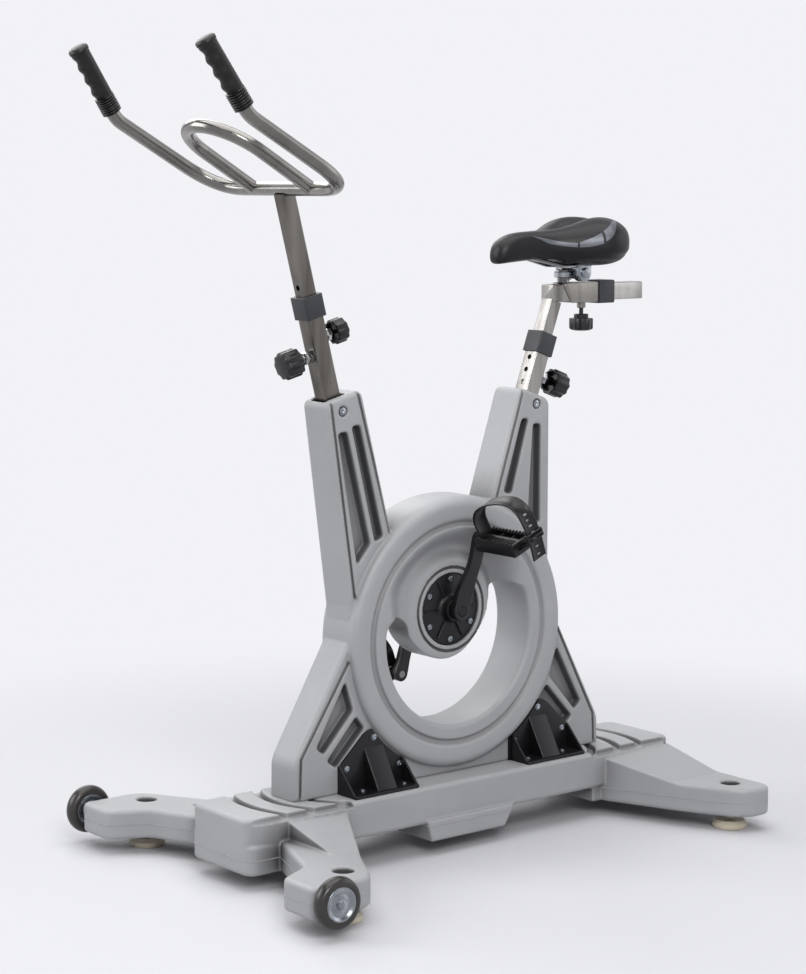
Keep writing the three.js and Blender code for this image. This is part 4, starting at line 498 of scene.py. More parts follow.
# Arms by their top and foot corners, with pockets in shares across and down; legs by their outlines
FRONT_ARM = {"tf": (269, 754), "tr": (199, 772), "ff": (225, 421), "fr": (136, 530),
             "root": [(60, 440), (225, 370)],
             "grooves": [((264, 775), (211, 412)), ((212, 784), (138, 520))],
             "pockets": [[(0.2, 0.17), (0.44, 0.19), (0.57, 0.87), (0.25, 0.87)],
                         [(0.57, 0.18), (0.78, 0.2), (0.83, 0.93), (0.66, 0.89)]]}
REAR_ARM = {"tf": (-142, 757), "tr": (-208, 733), "ff": (-80, 570), "fr": (-208, 440), "root": [(-40, 440)],
            "grooves": [((-155, 775), (-86, 566))],
            "pockets": [[(0.21, 0.23), (0.38, 0.2), (0.26, 0.81), (0.13, 0.86)],
                        [(0.52, 0.21), (0.73, 0.18), (0.81, 0.79), (0.59, 0.87)]]}
FRONT_LEG = {"outline": [(225, 370), (337, 179), (338, FLOOR_TOP), (120, FLOOR_TOP), (120, 240)],
             "grooves": [((214, 352), (324, 185)), ((324, 188), (327, 110))],
             "pockets": [[(234, 301), (218, 251), (278, 187), (293, 199)],
                         [(212, 241), (195, 219), (253, 161), (272, 175)]]}
BACK_LEG = {"outline": [(225, 358), (328, 166), (328, FLOOR_TOP), (120, FLOOR_TOP), (120, 240)],
            "grooves": [((214, 364), (315, 172)), ((315, 175), (318, 110))],
            "pockets": [[(228, 302), (211, 253), (272, 185), (286, 198)],
                        [(205, 239), (187, 216), (246, 158), (265, 175)]]}
POCKET = {"depth": 17.0, "draft": 2.0, "corner": 6}
GROOVE = {"width": 4.4, "depth": 5.0}
BOLT_RECESS = (8.8, 29, 40)
# Posts by the place of their axis at the body's top; sunk, above and collar are lengths along it
FRONT_POST = {"x": 241.5, "z": 757.0, "lean": FRONT_LEAN, "sunk": 240, "above": 161, "collar": 135, "bolt": -18.7}
REAR_POST = {"x": -187.0, "z": 752.0, "lean": REAR_LEAN, "sunk": 200, "above": 86, "collar": 60, "bolt": -27.2}


def post_matrix(post, face=1, at=0.0):
    """Places a piece drawn from a post's axis: Z along the post from the body's top, +X out of the wanted face."""
    return shift(post["x"], 0, post["z"]) @ turned(post["lean"], "Y") @ shift(0, 0, at) @ turn_to(face)


def bolt_place(post, side):
    at = post_matrix(post) @ Vector((0, 0, post["bolt"]))
    return shift(at.x, 0, at.z) @ turn_to(side)


def hub_place(side):
    return shift(HUB[0], 0, HUB[1]) @ turn_to(side)


def dish_height(share, angle):
    """The dish's half thickness on the way from the ring to the hub. Above the hub it falls at once; below, beside
    the crescent, a flat lip comes first. It is deeper behind the hub than ahead of it."""
    turn = angle % 360
    flat = LIP_SHARE * (1 - ease((turn - 5) / 30) * ease((168 - turn) / 30))
    way = max(0.0, (share - flat) / (1 - flat))
    low = DISH_AHEAD - (DISH_AHEAD - DISH_BEHIND) * (1 - math.cos(math.radians(turn))) / 2
    if way < FALL_SHARE:
        return BAND + (low - BAND) * ease(way / FALL_SHARE)
    return low + (HUB_HALF - low) * ease((way - FALL_SHARE) / (1 - FALL_SHARE))


def ring_and_dish(sides=180):
    """The ring's crown, its groove, the dish and the hub's boss on both faces."""
    profile = [(curve(RING_OUT, RING_OUT, RING_OUT - CROWN, k / 8), curve(CROWN_RIM, RING_HALF, RING_HALF, k / 8))
               for k in range(9)] + RING_GROOVE
    shares = [0.0, 0.03, 0.07] + [0.07 + 0.93 * k / 22 for k in range(1, 23)]
    rows = []
    ring, hub = Vector((0, 0, RING_Z)), Vector((HUB[0], 0, HUB[1]))
    for side in (1, -1):
        for i in range(sides):
            a = 2 * math.pi * i / sides
            out = Vector((math.cos(a), 0, math.sin(a)))
            row = [(r * out.x, side * y, RING_Z + r * out.z) for r, y in profile]
            for s in shares:
                at = (ring + out * DISH_R).lerp(hub + out * BOSS_R, s)
                row.append((at.x, side * dish_height(s, math.degrees(a)), at.z))
            rim_at = hub + out * BOSS_RIM
            rows.append(row + [(rim_at.x, side * HUB_HALF, rim_at.z)])
    count = len(rows[0])
    index = lambda side, i, k: (side * sides + i % sides) * count + k
    faces = []
    for i in range(sides):
        for k in range(count - 1):
            faces.append([index(0, i, k), index(0, i, k + 1), index(0, i + 1, k + 1), index(0, i + 1, k)])
            faces.append([index(1, i, k), index(1, i + 1, k), index(1, i + 1, k + 1), index(1, i, k + 1)])
        faces.append([index(0, i, 0), index(0, i + 1, 0), index(1, i + 1, 0), index(1, i, 0)])
    faces.append([index(0, i, count - 1) for i in range(sides)][::-1])
    faces.append([index(1, i, count - 1) for i in range(sides)])
    return [p for row in rows for p in row], faces


# The crescent's ends as (radius, angle) on the lip, and the web between them in shares of the lip's radius
FRONT_LOBE, REAR_LOBE = (28, 4), (39, 163)
WEB_SHARES = [(-0.465, 0.219), (-0.4, 0.077), (-0.284, -0.077), (-0.123, -0.213), (0.04, -0.275), (0.2, -0.277),
              (0.36, -0.222), (0.52, -0.105), (0.639, 0.039)]


def crescent_outline():
    points = []

    def run(cx, cz, r, a, b, steps):
        for k in range(steps + 1):
            t = math.radians(a + (b - a) * k / steps)
            points.append((cx + r * math.cos(t), cz + r * math.sin(t)))

    def lobe(r, angle, a, b):
        t = math.radians(angle)
        run((LIP_R - r) * math.cos(t), RING_Z + (LIP_R - r) * math.sin(t), r, a, b, 26)

    run(0, RING_Z, LIP_R, REAR_LOBE[1], FRONT_LOBE[1] + 360, 90)
    lobe(*FRONT_LOBE, FRONT_LOBE[1], 178)
    line = spline([(x * LIP_R, RING_Z + z * LIP_R, 0) for x, z in WEB_SHARES][::-1], 5)
    points += [(p.x, p.y) for p in line[1:-1]]
    lobe(*REAR_LOBE, FRONT_LOBE[1], REAR_LOBE[1])
    clean, least = [points[0]], 1.5
    for p in points[1:]:
        if math.dist(p, clean[-1]) > least:
            clean.append(p)
    return clean[:-1] if math.dist(clean[0], clean[-1]) < least else clean


def crescent_cutter(lip=7.0):
    shape = crescent_outline()
    straight = BAND - lip
    half = [(shape, straight)]
    for k in range(1, 6):
        turn = math.pi / 2 * k / 5
        half.append((inset(shape, -lip * (1 - math.cos(turn))), straight + lip * math.sin(turn)))
    half.append((inset(shape, -lip), FAR))
    return stack([(points, -y) for points, y in half[::-1]] + half, "xz")


def on_arm(arm, back, down):
    """A place on an arm's side, by its share across from the front and its share down from the top."""
    front = Vector(arm["tf"]).lerp(Vector(arm["ff"]), down)
    return tuple(front.lerp(Vector(arm["tr"]).lerp(Vector(arm["fr"]), down), back))


def pockets(corners):
    """A pocket on both faces, its walls leaning in towards its floor."""
    shape = rounded(corners, POCKET["corner"], 5)
    draft = POCKET["draft"]
    half = [(inset(shape, draft), HALF - POCKET["depth"]), (inset(shape, draft / 3), HALF - 4),
            (inset(shape, -1.2), HALF + 0.4), (inset(shape, -1.2), HALF + 40)]
    return [stack(half, "xz"), stack([(points, -y) for points, y in half[::-1]], "xz")]


def grooves(lines, end=1):
    """Fine grooves along lines on both faces."""
    made = []
    for start, stop in lines:
        a, b = Vector((end * start[0], start[1])), Vector((end * stop[0], stop[1]))
        along = (b - a).normalized() * GROOVE["width"] / 2
        aside = Vector((along.y, -along.x))
        shape = [tuple(c) for c in (a + aside, b + aside, b - aside, a - aside)]
        for side in (1, -1):
            made.append(slab(shape, *sorted((side * (HALF - GROOVE["depth"]), side * (HALF + 30))), 0))
    return made


def seam(obj, height, name, radius=0.8):
    """The fine line that a mould's parting leaves round a moulded piece, at a height in metres."""
    tool = bmesh.new()
    tool.from_mesh(obj.data)
    bmesh.ops.bisect_plane(tool, geom=tool.verts[:] + tool.edges[:] + tool.faces[:], plane_co=(0, 0, height),
                           plane_no=(0, 0, 1), clear_inner=True, clear_outer=True)
    line = Solid()
    left = dict.fromkeys(tool.edges)
    while left:
        path = list(left.popitem()[0].verts)
        while onward := [e for e in path[-1].link_edges if e in left]:
            del left[onward[0]]
            path.append(onward[0].other_vert(path[-1]))
        pts = [Vector((v.co.x * 1000 + SHIFT, v.co.y * 1000, v.co.z * 1000)) for v in path[::3]]
        if len(pts) > 60:
            line.add(sweep(pts + [pts[0]], radius, 6))
    tool.free()
    line.build(name, "frame", "shell", angle=80)


def body_shell():
    # The arms and legs are cut first, because the ring covers the ends of their pockets and grooves.
    front = rounded([FRONT_ARM["tf"], FRONT_ARM["tr"], FRONT_ARM["fr"], *FRONT_ARM["root"], FRONT_ARM["ff"]],
                    [CORNER, CORNER, 0, 0, 0, 0])
    rear = rounded([REAR_ARM["tf"], REAR_ARM["ff"], *REAR_ARM["root"], REAR_ARM["fr"], REAR_ARM["tr"]],
                   [CORNER, 0, 0, 0, CORNER])
    pieces = [slab(front, -HALF, HALF, EDGE, "xz", 4), slab(rear, -HALF, HALF, EDGE, "xz", 4),
              slab([(-322, FLOOR_TOP), (332, FLOOR_TOP), (205, 158), (-205, 158)], -HALF, HALF, EDGE / 2)]
    cutters = []
    for leg, end in ((FRONT_LEG, 1), (BACK_LEG, -1)):
        shape = rounded([(end * x, z) for x, z in leg["outline"]], [0, CORNER, 0, 0, 0])
        pieces.append(slab(shape, -HALF, HALF, EDGE, "xz", 4))
        cutters += grooves(leg["grooves"], end)
        for corners in leg["pockets"]:
            cutters += pockets([(end * x, z) for x, z in corners])
    for arm in (FRONT_ARM, REAR_ARM):
        cutters += grooves(arm["grooves"])
        for shares in arm["pockets"]:
            cutters += pockets([on_arm(arm, *s) for s in shares])
    cutters.append(moved(cylinder(ARMS_END, -FAR, FAR, 120), shift(0, 0, RING_Z)))
    arms = carve(carve(pieces[0], pieces[1:], "UNION"), cutters)
    arms = carve(arms, [ring_and_dish()], "UNION")
    late = [crescent_cutter()]
    well = square(31, 2.5)
    dip = [(well, -20), (square(35, 4), -14), (square(41, 6), -9), (square(41, 6), 40)]
    for post in (FRONT_POST, REAR_POST):
        late.append(moved(slab(well, -post["sunk"], 45, 0, "xy"), post_matrix(post)))
        late.append(moved(stack(dip, "xy"), post_matrix(post)))
        late += [moved(cylinder(*BOLT_RECESS), bolt_place(post, side)) for side in SIDES.values()]
    groove = [(BOSS_RIM - 3.5, HUB_HALF - 5), (BOSS_RIM + 0.5, HUB_HALF - 5), (BOSS_RIM + 1.5, FAR),
              (BOSS_RIM - 4.5, FAR)]
    for side in SIDES.values():
        late.append(moved(cylinder(COVER_R + 0.6, HUB_FLOOR, 40, 96), hub_place(side)))
        late.append(moved(lathe(groove, 96), hub_place(side)))
    finish(mould([arms], late, "body_moulding"), "frame", "shell", "body_shell", 50)


# The base: beam, end blocks, belly and four legs

FOOT_X, FOOT_Y = {end: centre(f"foot_{end}_left")[0] for end in ENDS}, centre("foot_front_left")[1]
LEG_LOW, LEG_TOP, BEAM_LOW, BLOCK_HALF, PARTING = 27, 77, 55, 82, 0.052
LEG_PLANS = {"front": ([(245, 36), (385, 41), (454, 212), (517, 243), (517, 320), (405, 320), (362, 244)],
                       [0, 0, 14, 14, 14, 28, 14]),
             "rear": ([(-290, 80), (-344, 222), (-387, 308), (-411, 328), (-462, 328), (-462, 80)],
                      [0, 24, 24, 24, 24, 0])}
LEG_ROOTS = {"front": (245, 385, 212), "rear": (-455, -290, 222)}
RIDGES = {"middle": 215, "radii": (94, 141, 188), "reach": 78, "half": 6.5}


def leg_root(plan, start, end, reach, side):
    """The slope by which a leg rises to the beam."""
    shape = [(side * 72, 34), (side * reach, 34), (side * reach, 73.5), (side * 72, 108)]
    return carve(slab(shape, start, end, 0, "yz"), [slab(plan, LEG_LOW, FLOOR_TOP, 0, "xy")], "INTERSECT")


def ridge_groove(end, radius, steps=32):
    half = math.asin(RIDGES["reach"] / radius)
    middle = 0 if end > 0 else math.pi
    shape = []
    for edge, turn in ((RIDGES["half"], 1), (-RIDGES["half"], -1)):
        for k in range(steps + 1):
            a = middle + turn * half * (2 * k / steps - 1)
            shape.append((end * RIDGES["middle"] + (radius + edge) * math.cos(a), (radius + edge) * math.sin(a)))
    return stack([(inset(shape, 2), 108), (inset(shape, 0.5), 112), (inset(shape, -1.5), 118.3),
                  (inset(shape, -1.5), 124)], "xy")


def base():
    half = [(462, 72), (438, 79), (300, 90), (-300, 90), (-441, 79), (-465, 72)]
    beam = half + [(x, -y) for x, y in half[::-1]]
    pieces = [slab(rounded(beam, [24, 24, 0, 0, 24, 24] * 2), BEAM_LOW, FLOOR_TOP, EDGE, "xy", 4)]
    front = [(278, -BLOCK_HALF), (462, -BLOCK_HALF), (462, BLOCK_HALF), (278, BLOCK_HALF), (245, 36), (245, -36)]
    rear = [(-271, -BLOCK_HALF), (-465, -BLOCK_HALF), (-465, BLOCK_HALF), (-271, BLOCK_HALF)]
    for shape in (front, rear):
        pieces.append(slab(rounded(shape, [0, 24, 24, 0, 0, 0]), LEG_LOW, LEG_TOP, EDGE, "xy", 4))
    belly = [(112, 62), (101, 25), (-58, 25), (-80, 62)]
    pieces.append(slab(belly, -95, 95, EDGE / 2, "xz", 2))
    cutters = []
    well = lathe([(0, -22), (13, -22), (15.5, -19.5), (16, -17), (16, -4), (17, -1.4), (20, 0.6), (20, 6), (0, 6)],
                 32, "z")
    for side in SIDES.values():
        plans = {end: rounded([(x, side * y) for x, y in plan], radii) for end, (plan, radii) in LEG_PLANS.items()}
        pieces += [slab(plan, LEG_LOW, LEG_TOP, EDGE, "xy", 4) for plan in plans.values()]
        pieces += [leg_root(plans[end], *LEG_ROOTS[end], side) for end in plans]
        cutters += [moved(well, shift(x, side * FOOT_Y, LEG_TOP)) for x in FOOT_X.values()]
        for end in ENDS.values():
            step = [(end * 262, side * 74), (end * 480, side * 74), (end * 480, side * 100), (end * 262, side * 100)]
            cutters.append(slab(step, 108, 130, 0, "xy"))
    for end in ENDS.values():
        cutters += [ridge_groove(end, r) for r in RIDGES["radii"]]
    obj = finish(mould(pieces, cutters, "base_moulding"), "frame", "shell", "base", 50)
    seam(obj, PARTING, "base_seam")


# Feet, wheels and screws

def feet():
    profile = [(0, 0), (27.5, 0), (29.4, 0.7), (30, 2.2), (30, 7), (29.3, 9), (27.2, 10.2), (26.3, 12.6), (25, 14),
               (8, 14), (8, 60), (0, 60)]
    for end, x in FOOT_X.items():
        for side, y in SIDES.items():
            Solid(lathe(profile, 64, "z"), shift(x, y * FOOT_Y, 0)).build(
                f"foot_{end}_{side}_pad", f"{end}_{side}_foot", "foot", f"foot_{end}_{side}")


WHEEL_PLACE, WHEEL_HALF, TREAD_R, TREAD = centre("tyre_left"), 12.0, 30.0, 10.0


def wheels():
    tread = [(TREAD_R - 3, -WHEEL_HALF), (TREAD_R, -WHEEL_HALF)]
    for k in range(1, 24):
        a = math.radians(-90 + 180 * k / 24)
        tread.append((TREAD_R + TREAD * math.cos(a) ** 0.8,
                      WHEEL_HALF * math.copysign(abs(math.sin(a)) ** 1.05, a)))
    tread += [(TREAD_R, WHEEL_HALF), (TREAD_R - 3, WHEEL_HALF)]
    disc = [(5.4, -11.6), (12, -11.6), (13.2, -11.2), (15.6, -8.3), (17, -8), (19, -8), (20.6, -8.6), (23, -11.4),
            (24, -12), (26.1, -12), (26.7, -11.4), (26.7, 11.4), (26.1, 12), (24, 12), (23, 11.4), (20.6, 8.6),
            (19, 8), (17, 8), (15.6, 8.2), (13, 9.7), (12, 10), (5.4, 10)]
    bolt = [(0, -56.4), (5, -56.4), (5, -22.4), (8, -22.4), (8, -12), (5, -12), (5, 10.3), (8, 10.3), (8, 12.2),
            (7, 13.8), (4.6, 14.8), (2, 15.2), (0, 15.3)]
    x, out, z = WHEEL_PLACE
    for side, y in SIDES.items():
        at = shift(x, y * out, z) @ turn_to(y)
        Solid(lathe(tread, 96), at).build(f"tyre_rubber_{side}", f"{side}_wheel", "tyre", f"tyre_{side}", 50)
        Solid(lathe(disc, 72), at).build(f"wheel_plate_{side}", f"{side}_wheel", "zinc", f"wheel_disc_{side}", 30)
        Solid(lathe(bolt, 32), at).build(f"wheel_bolt_head_{side}", "frame", "zinc", f"wheel_bolt_{side}", 35)


def screw(radius, height, at, matrix, into):
    """A bright washer ring and head, with a hexagonal recess whose floor is a black disc of painted shade, drawn along
    +Y from at.
    """
    ring = [(0, at), (radius, at), (radius, at + 0.8), (radius * 0.82, at + 1.0), (radius * 0.8, at + height * 0.8),
            (radius * 0.62, at + height), (0, at + height)]
    recess = slab(circle(radius * 0.42, 6), at + height * 0.4, at + height + 2, 0)
    into.add(carve(lathe(ring, 24), [recess]), matrix)
    # A black disc at the recess's floor paints the shade inside it.
    into.add(slab(circle(radius * 0.44, 12), at + height * 0.3, at + height * 0.45, 0), matrix, 1)


# Brackets between the base and the body

WALL, FLANGE, SHOULDER_Z, RIB_Z, PLATE_Z, BRACKET_X = 4, 5, 165, 188, 217, (119, 248)
SCREW_R, SCREW_TALL = 5.4, 2.8


def brackets():
    y0, z0 = HALF + GAP, FLOOR_TOP + GAP
    near, far = BRACKET_X
    plate = rounded([(250, z0), (250, SHOULDER_Z), (194, PLATE_Z), (166, PLATE_Z), (115, SHOULDER_Z), (115, z0)],
                    [0, 7, 14, 14, 7, 0])
    plate = slab(plate, y0, y0 + WALL, 0.8, "xz", 2)
    flange = rounded(box(near, far + WALL, y0, 84), [0, 0, 5, 5])
    flange = slab(flange, z0, z0 + FLANGE, 1.2, "xy", 2)
    cheek = [(y0, z0), (79, z0), (79, z0 + FLANGE), (y0 + WALL, SHOULDER_Z), (y0, SHOULDER_Z)]
    cheeks = [slab(cheek, x, x + WALL, 0.8, "yz", 2) for x in BRACKET_X]
    rib = [(y0, z0), (76, z0), (76, z0 + FLANGE), (y0 + WALL, RIB_Z), (y0, RIB_Z)]
    rib = slab(rib, 160, 200, 2.5, "yz", 4)
    ring = moved(cylinder(RING_OUT + GAP, 0, 90, 180), shift(0, 0, RING_Z))
    body = carve(carve(plate, [flange, *cheeks, rib], "UNION"), [ring])
    for end, x in ENDS.items():
        for side, y in SIDES.items():
            mirror = Matrix.Scale(x, 4, (1, 0, 0)) @ Matrix.Scale(y, 4, (0, 1, 0))
            name = f"bracket_{end}_{side}"
            Solid(body, mirror).build(name + "_plate", "frame", "black", name, 30)
            screws = Solid()
            for sx, sz in ((180, 203), (236, 158), (126.5, 151)):
                screw(SCREW_R, SCREW_TALL, y0 + WALL, mirror @ shift(sx, 0, sz), screws)
            for sx, sy in ((219, 58), (136, 62)):
                screw(SCREW_R, SCREW_TALL, 0, mirror @ shift(sx, sy, z0 + FLANGE) @ turned(90, "X"), screws)
            screws.build(name + "_screws", "frame", ["zinc", "black"], angle=30)


def body_bolts():
    head = [(0, 13.3), (4, 13.3), (4, 29.3), (7, 29.3), (7, 30.9), (6.2, 32.2), (4.4, 33), (2.4, 33.3), (0, 33.3)]
    for end, post in (("front", FRONT_POST), ("rear", REAR_POST)):
        for side, y in SIDES.items():
            bolt = carve(lathe(head, 24), [slab(circle(2.4, 6), 31.2, 40, 0)])
            Solid(bolt, bolt_place(post, y)).build(f"body_bolt_head_{end}_{side}", "frame", "zinc",
                                                   f"body_bolt_{end}_{side}", 30)


# Crank drive

CRANK_TURN, CRANK_REACH, PEDAL_LEAN = 106.0, 125, 24
CRANK_HALF, EYE_HALF, CRANK_THICK, CRANK_FACE, CRANK_FLARE = 16, 12.5, 7, 53, 10


def hub_covers():
    face, pad_at = 27.0, 51
    profile = [(9, 20.3), (COVER_R, 20.3), (COVER_R, 25.4), (60, 26.5), (59, face), (27, face), (24.4, 27.6),
               (22, 29.4), (20.4, 32.5), (19.2, 38), (18.8, 42.8), (18.2, 43.7), (17.2, 44), (9, 44)]
    rib = slab(rounded(box(25, 55, -1.75, 1.75), 1.7, 4), face - 1, face + 3.2, 1.2)
    pad = lathe([(0, face - 0.5), (6.6, face - 0.5), (6.2, face + 0.6), (0, face + 0.6)], 24)
    for side, y in SIDES.items():
        at = hub_place(y)
        cover, screws = Solid(lathe(profile, 96), at), Solid()
        for k in range(6):
            cover.add(rib, at @ turned(60 * k, "Y"))
            between = at @ turned(60 * k + 30, "Y") @ shift(pad_at, 0, 0)
            cover.add(pad, between)
            screw(4.8, 2.6, face + 0.6, between, screws)
        cover.build(f"hub_cover_cap_{side}", "frame", "black", f"hub_cover_{side}", 30)
        screws.build(f"hub_cover_screws_{side}", "frame", ["zinc", "black"], angle=30)
        bush = lathe([(9, 8.3), (17.5, 8.3), (17.5, 19.7), (9, 19.7)])
        Solid(bush, at).build(f"bearing_bush_{side}", "frame", "bronze", f"bearing_{side}")


def crank_arm():
    """The crank along +X: a round hub, a neck that flares outwards, and a round eye for the pedal."""
    quarter = [math.pi / 2 * k / 8 for k in range(9)]
    ends = [-CRANK_HALF * math.cos(a) for a in quarter[:8]]
    eye = [CRANK_REACH + EYE_HALF * math.sin(a) for a in quarter]
    rows = []
    for x in ends + [4 * k for k in range(31)] + [122.5] + eye:
        half = CRANK_HALF - 5 * ease((x - 22) / 55) + 1.5 * ease((x - 95) / 25)
        if x < 0:
            half = math.sqrt(max(0.4, CRANK_HALF ** 2 - x * x))
        if x > CRANK_REACH:
            half = math.sqrt(max(0.4, EYE_HALF ** 2 - (x - CRANK_REACH) ** 2))
        middle = CRANK_FACE + CRANK_FLARE * ease((x - 22) / 68)
        section = rounded(box(-CRANK_THICK, CRANK_THICK, -half, half), 3.4, 4)
        rows.append([(x, middle + u, v) for u, v in section])
    return carve(loft(rows), [cylinder(8.9, 30, 57.4, 32), lathe([(0, 58.5), (8.6, 58.5), (9.4, 61), (0, 61)], 32),
                              moved(cylinder(6.1, 30, 80), shift(CRANK_REACH, 0, 0))])


def pedal_place(y):
    turn = math.radians(CRANK_TURN)
    reach = y * CRANK_REACH
    return shift(HUB[0] + reach * math.cos(turn), 0, HUB[1] + reach * math.sin(turn)) @ turn_to(y)


def cranks():
    drive = hub_place(1) @ turned(-CRANK_TURN, "Y")
    axle = lathe([(0, -57), (7.7, -57), (8.5, -56), (8.5, 56), (7.7, 57), (0, 57)], 40)
    Solid(axle, drive).build("axle_shaft", "crank_drive", "zinc", "crank_axle")
    cap = [(0, 59.1), (8, 59.1), (8, 60), (7.2, 60.9), (4.6, 61.4), (3.6, 61.1), (0, 61.1)]
    spindle = [(0, 56.3), (6, 56.3), (6, 70.3), (9, 70.3), (9, 75.7), (5.2, 75.7), (5.2, 165), (0, 165)]
    flats = [slab(box(*sorted((u * 7.4, u * 20)), -12, 12), 70.8, 75, 0) for u in (1, -1)]
    spindle = carve(lathe(spindle, 36), flats)
    arm = crank_arm()
    for side, y in SIDES.items():
        at = drive @ turn_to(y)
        Solid(arm, at).build(f"crank_arm_{side}", "crank_drive", "crank", f"crank_{side}", 35)
        Solid(lathe(cap, 40), at).build(f"crank_cap_disc_{side}", "crank_drive", "black", f"crank_cap_{side}", 30)
        Solid(spindle, pedal_place(y)).build(f"pedal_spindle_steel_{side}", "crank_drive", "chrome",
                                             f"pedal_spindle_{side}", 30)


CAGE = {"inner": 76, "outer": 171, "rail": (16.5, 22.5), "half": 11, "teeth": 11, "pitch": 8.1, "tooth": 14}


def pedals():
    inner, outer, half = CAGE["inner"], CAGE["outer"], CAGE["half"]
    cage = []
    for u in (-1, 1):
        x0, x1 = sorted(u * x for x in CAGE["rail"])
        cage.append(block(x0, x1, inner, outer, -half, half, 1.6))
        for k in range(CAGE["teeth"]):
            y, top = inner + 4 + CAGE["pitch"] * k, CAGE["tooth"] - 0.6
            tooth = rounded([(y, half - 2), (y + 5, half - 2), (y + 3.6, top), (y + 1.4, top)], 0.8, 2)
            tooth = slab(tooth, x0 + 0.6, x1 - 0.6, 0.5, "yz", 2)
            cage += [tooth, moved(tooth, Matrix.Scale(-0.86, 4, (0, 0, 1)))]
    for y0, y1, depth in ((inner, inner + 6, half), (outer - 6, outer, half), (108, 111, 7), (136, 139, 7)):
        cage.append(block(-19, 19, y0, y1, -depth, depth, 1.2))
    cage.append(lathe([(5.5, 77), (9.4, 77), (10, 78), (10, 164), (9.4, 165), (5.5, 165)], 40))
    for side, y in SIDES.items():
        turn = pedal_place(y) @ turned(y * PEDAL_LEAN, "Y")
        made = Solid()
        for piece in cage:
            made.add(piece, turn)
        made.build(f"pedal_cage_{side}", f"{side}_pedal", "black", f"pedal_{side}", 30)
        strap(side, turn)


def strap(side, turn):
    """The strap over the foot: ribbed edges, a row of slots in its tail, and the buckle that the tail goes through."""
    line = [(84, 11.3), (81, 40), (94, 61), (125, 76), (160, 83), (184, 81), (199, 68), (206, 45), (207, 15),
            (203, -17)]
    path = spline([(0, y, z) for y, z in line], 10)
    ribbed = [(-1.5, -13.2), (-1.5, -11.6), (-1.0, -11), (-1.0, 11), (-1.5, 11.6), (-1.5, 13.2), (-1.1, 14),
              (1.1, 14), (1.5, 13.2), (1.5, 11.6), (1.0, 11), (1.0, -11), (1.5, -11.6), (1.5, -13.2), (1.1, -14),
              (-1.1, -14)]
    hole = slab(rounded(box(-4.2, 4.2, -1.7, 1.7), 1.5, 3), -5, 5, 0)
    slots = []
    for k in range(7):
        at, before = path[-4 - 4 * k], path[-6 - 4 * k]
        lean = math.atan2(at.y - before.y, before.z - at.z)
        slots.append(moved(hole, shift(*at) @ Matrix.Rotation(lean, 4, "X")))
    band = carve(sweep(path, 1.0, section=ribbed, up=(1, 0, 0)), slots)
    Solid(band, turn).build(f"toe_strap_band_{side}", f"{side}_pedal", "strap", f"toe_strap_{side}")
    there = turn @ shift(path[-14].x, path[-14].y + 2.8, path[-14].z)
    wide, tall = 16, 6
    loop = [(-wide, 0, -tall), (-wide, 0, tall), (wide, 0, tall), (wide, 0, -tall), (-wide, 0, -tall), (-wide, 0, 0)]
    buckle = Solid(sweep(bent(loop, [2.5] * 4, 4), 1.7, 12), there)
    buckle.add(block(-wide, wide, 0.4, 2.6, -2, 2, 0.8), there)
    for x in (-wide, wide):
        buckle.add(block(x - 1.3, x + 1.3, -5.6, 1.6, -7, 7, 0.9), there)
    link = spline([(0, 166, -3), (0, 180, 2), (0, 196, 10), (0, 205, 13)], 6)
    buckle.add(sweep(link, 1.0, section=rounded(box(-2, 2, -11, 11), 1.5, 3), up=(1, 0, 0)), turn)
    buckle.build(f"strap_buckle_{side}", f"{side}_pedal", "black", angle=30)


# Posts, collars, bosses and knobs

OUTER, INNER, BORE, OUTER_CORNER, INNER_CORNER = 30, 25, 26, 2.8, 2.5
FRONT_PIN, FRONT_CLAMP, SEAT_PIN = 76, 100, 25
PIN_HOLE, POST_HOLE, HOLE_PITCH = 4.2, 4.5, 22
COLLAR_TALL, NUT_START, NUT_END, SLEEVE, PIN_TIP = 37, 15.3, 32.3, 17, 12.8
POP_KNOB = {"radius": 23, "start": 54.3, "height": 22, "cup": 10}
CLAMP_KNOB = {"radius": 20.5, "start": 42, "height": 17, "cup": 7}
CARRIAGE_KNOB = {"radius": 21, "start": 45.5, "height": 22, "tip": 15.3, "neck": 7.5}


def wall_hole(radius, at, face):
    return moved(cylinder(radius, 0, 30, 24, "x"), shift(0, 0, at) @ turn_to(face))


def outer_tube(post, holes, name, mat):
    sunk, above = post["sunk"], post["above"]
    inner = square_bar(BORE, 1.5, -sunk - 5, above + 5)
    tube = carve(square_bar(OUTER, OUTER_CORNER, -sunk, above), [inner, *holes])
    Solid(tube, post_matrix(post)).build(name + "_steel", "frame", mat, name, 30)


def collar(post, name):
    at = post["collar"]
    room = [square_bar(OUTER + 0.6, 2.6, at - 5, post["above"] + GAP), square_bar(INNER + 0.6, 2.6, at, at + 50)]
    made = carve(slab(square(37.6, 3), at, at + COLLAR_TALL, 1.2, "xy"), room)
    Solid(made, post_matrix(post)).build(name + "_moulding", "frame", "collar", name, 30)


def boss(post, at, face, sleeve, name):
    where = post_matrix(post, face, at)
    nut = carve(slab(circle(10.8, 6), NUT_START, NUT_END, 0.9, "yz", 2), [cylinder(PIN_HOLE, 10, 60, 24, "x")])
    end = NUT_END + sleeve
    neck = [(PIN_HOLE, 32), (7.1, 32), (7.5, 32.6), (7.5, end - 0.8), (6.8, end), (PIN_HOLE, end)]
    flat = [(PIN_HOLE, 32), (7.5, 32), (7.5, end), (PIN_HOLE, end)]
    made = Solid(nut, where).add(lathe(neck if sleeve > 2 else flat, 36, "x"), where)
    made.build(name + "_nut", "frame", "chrome", name, 30)


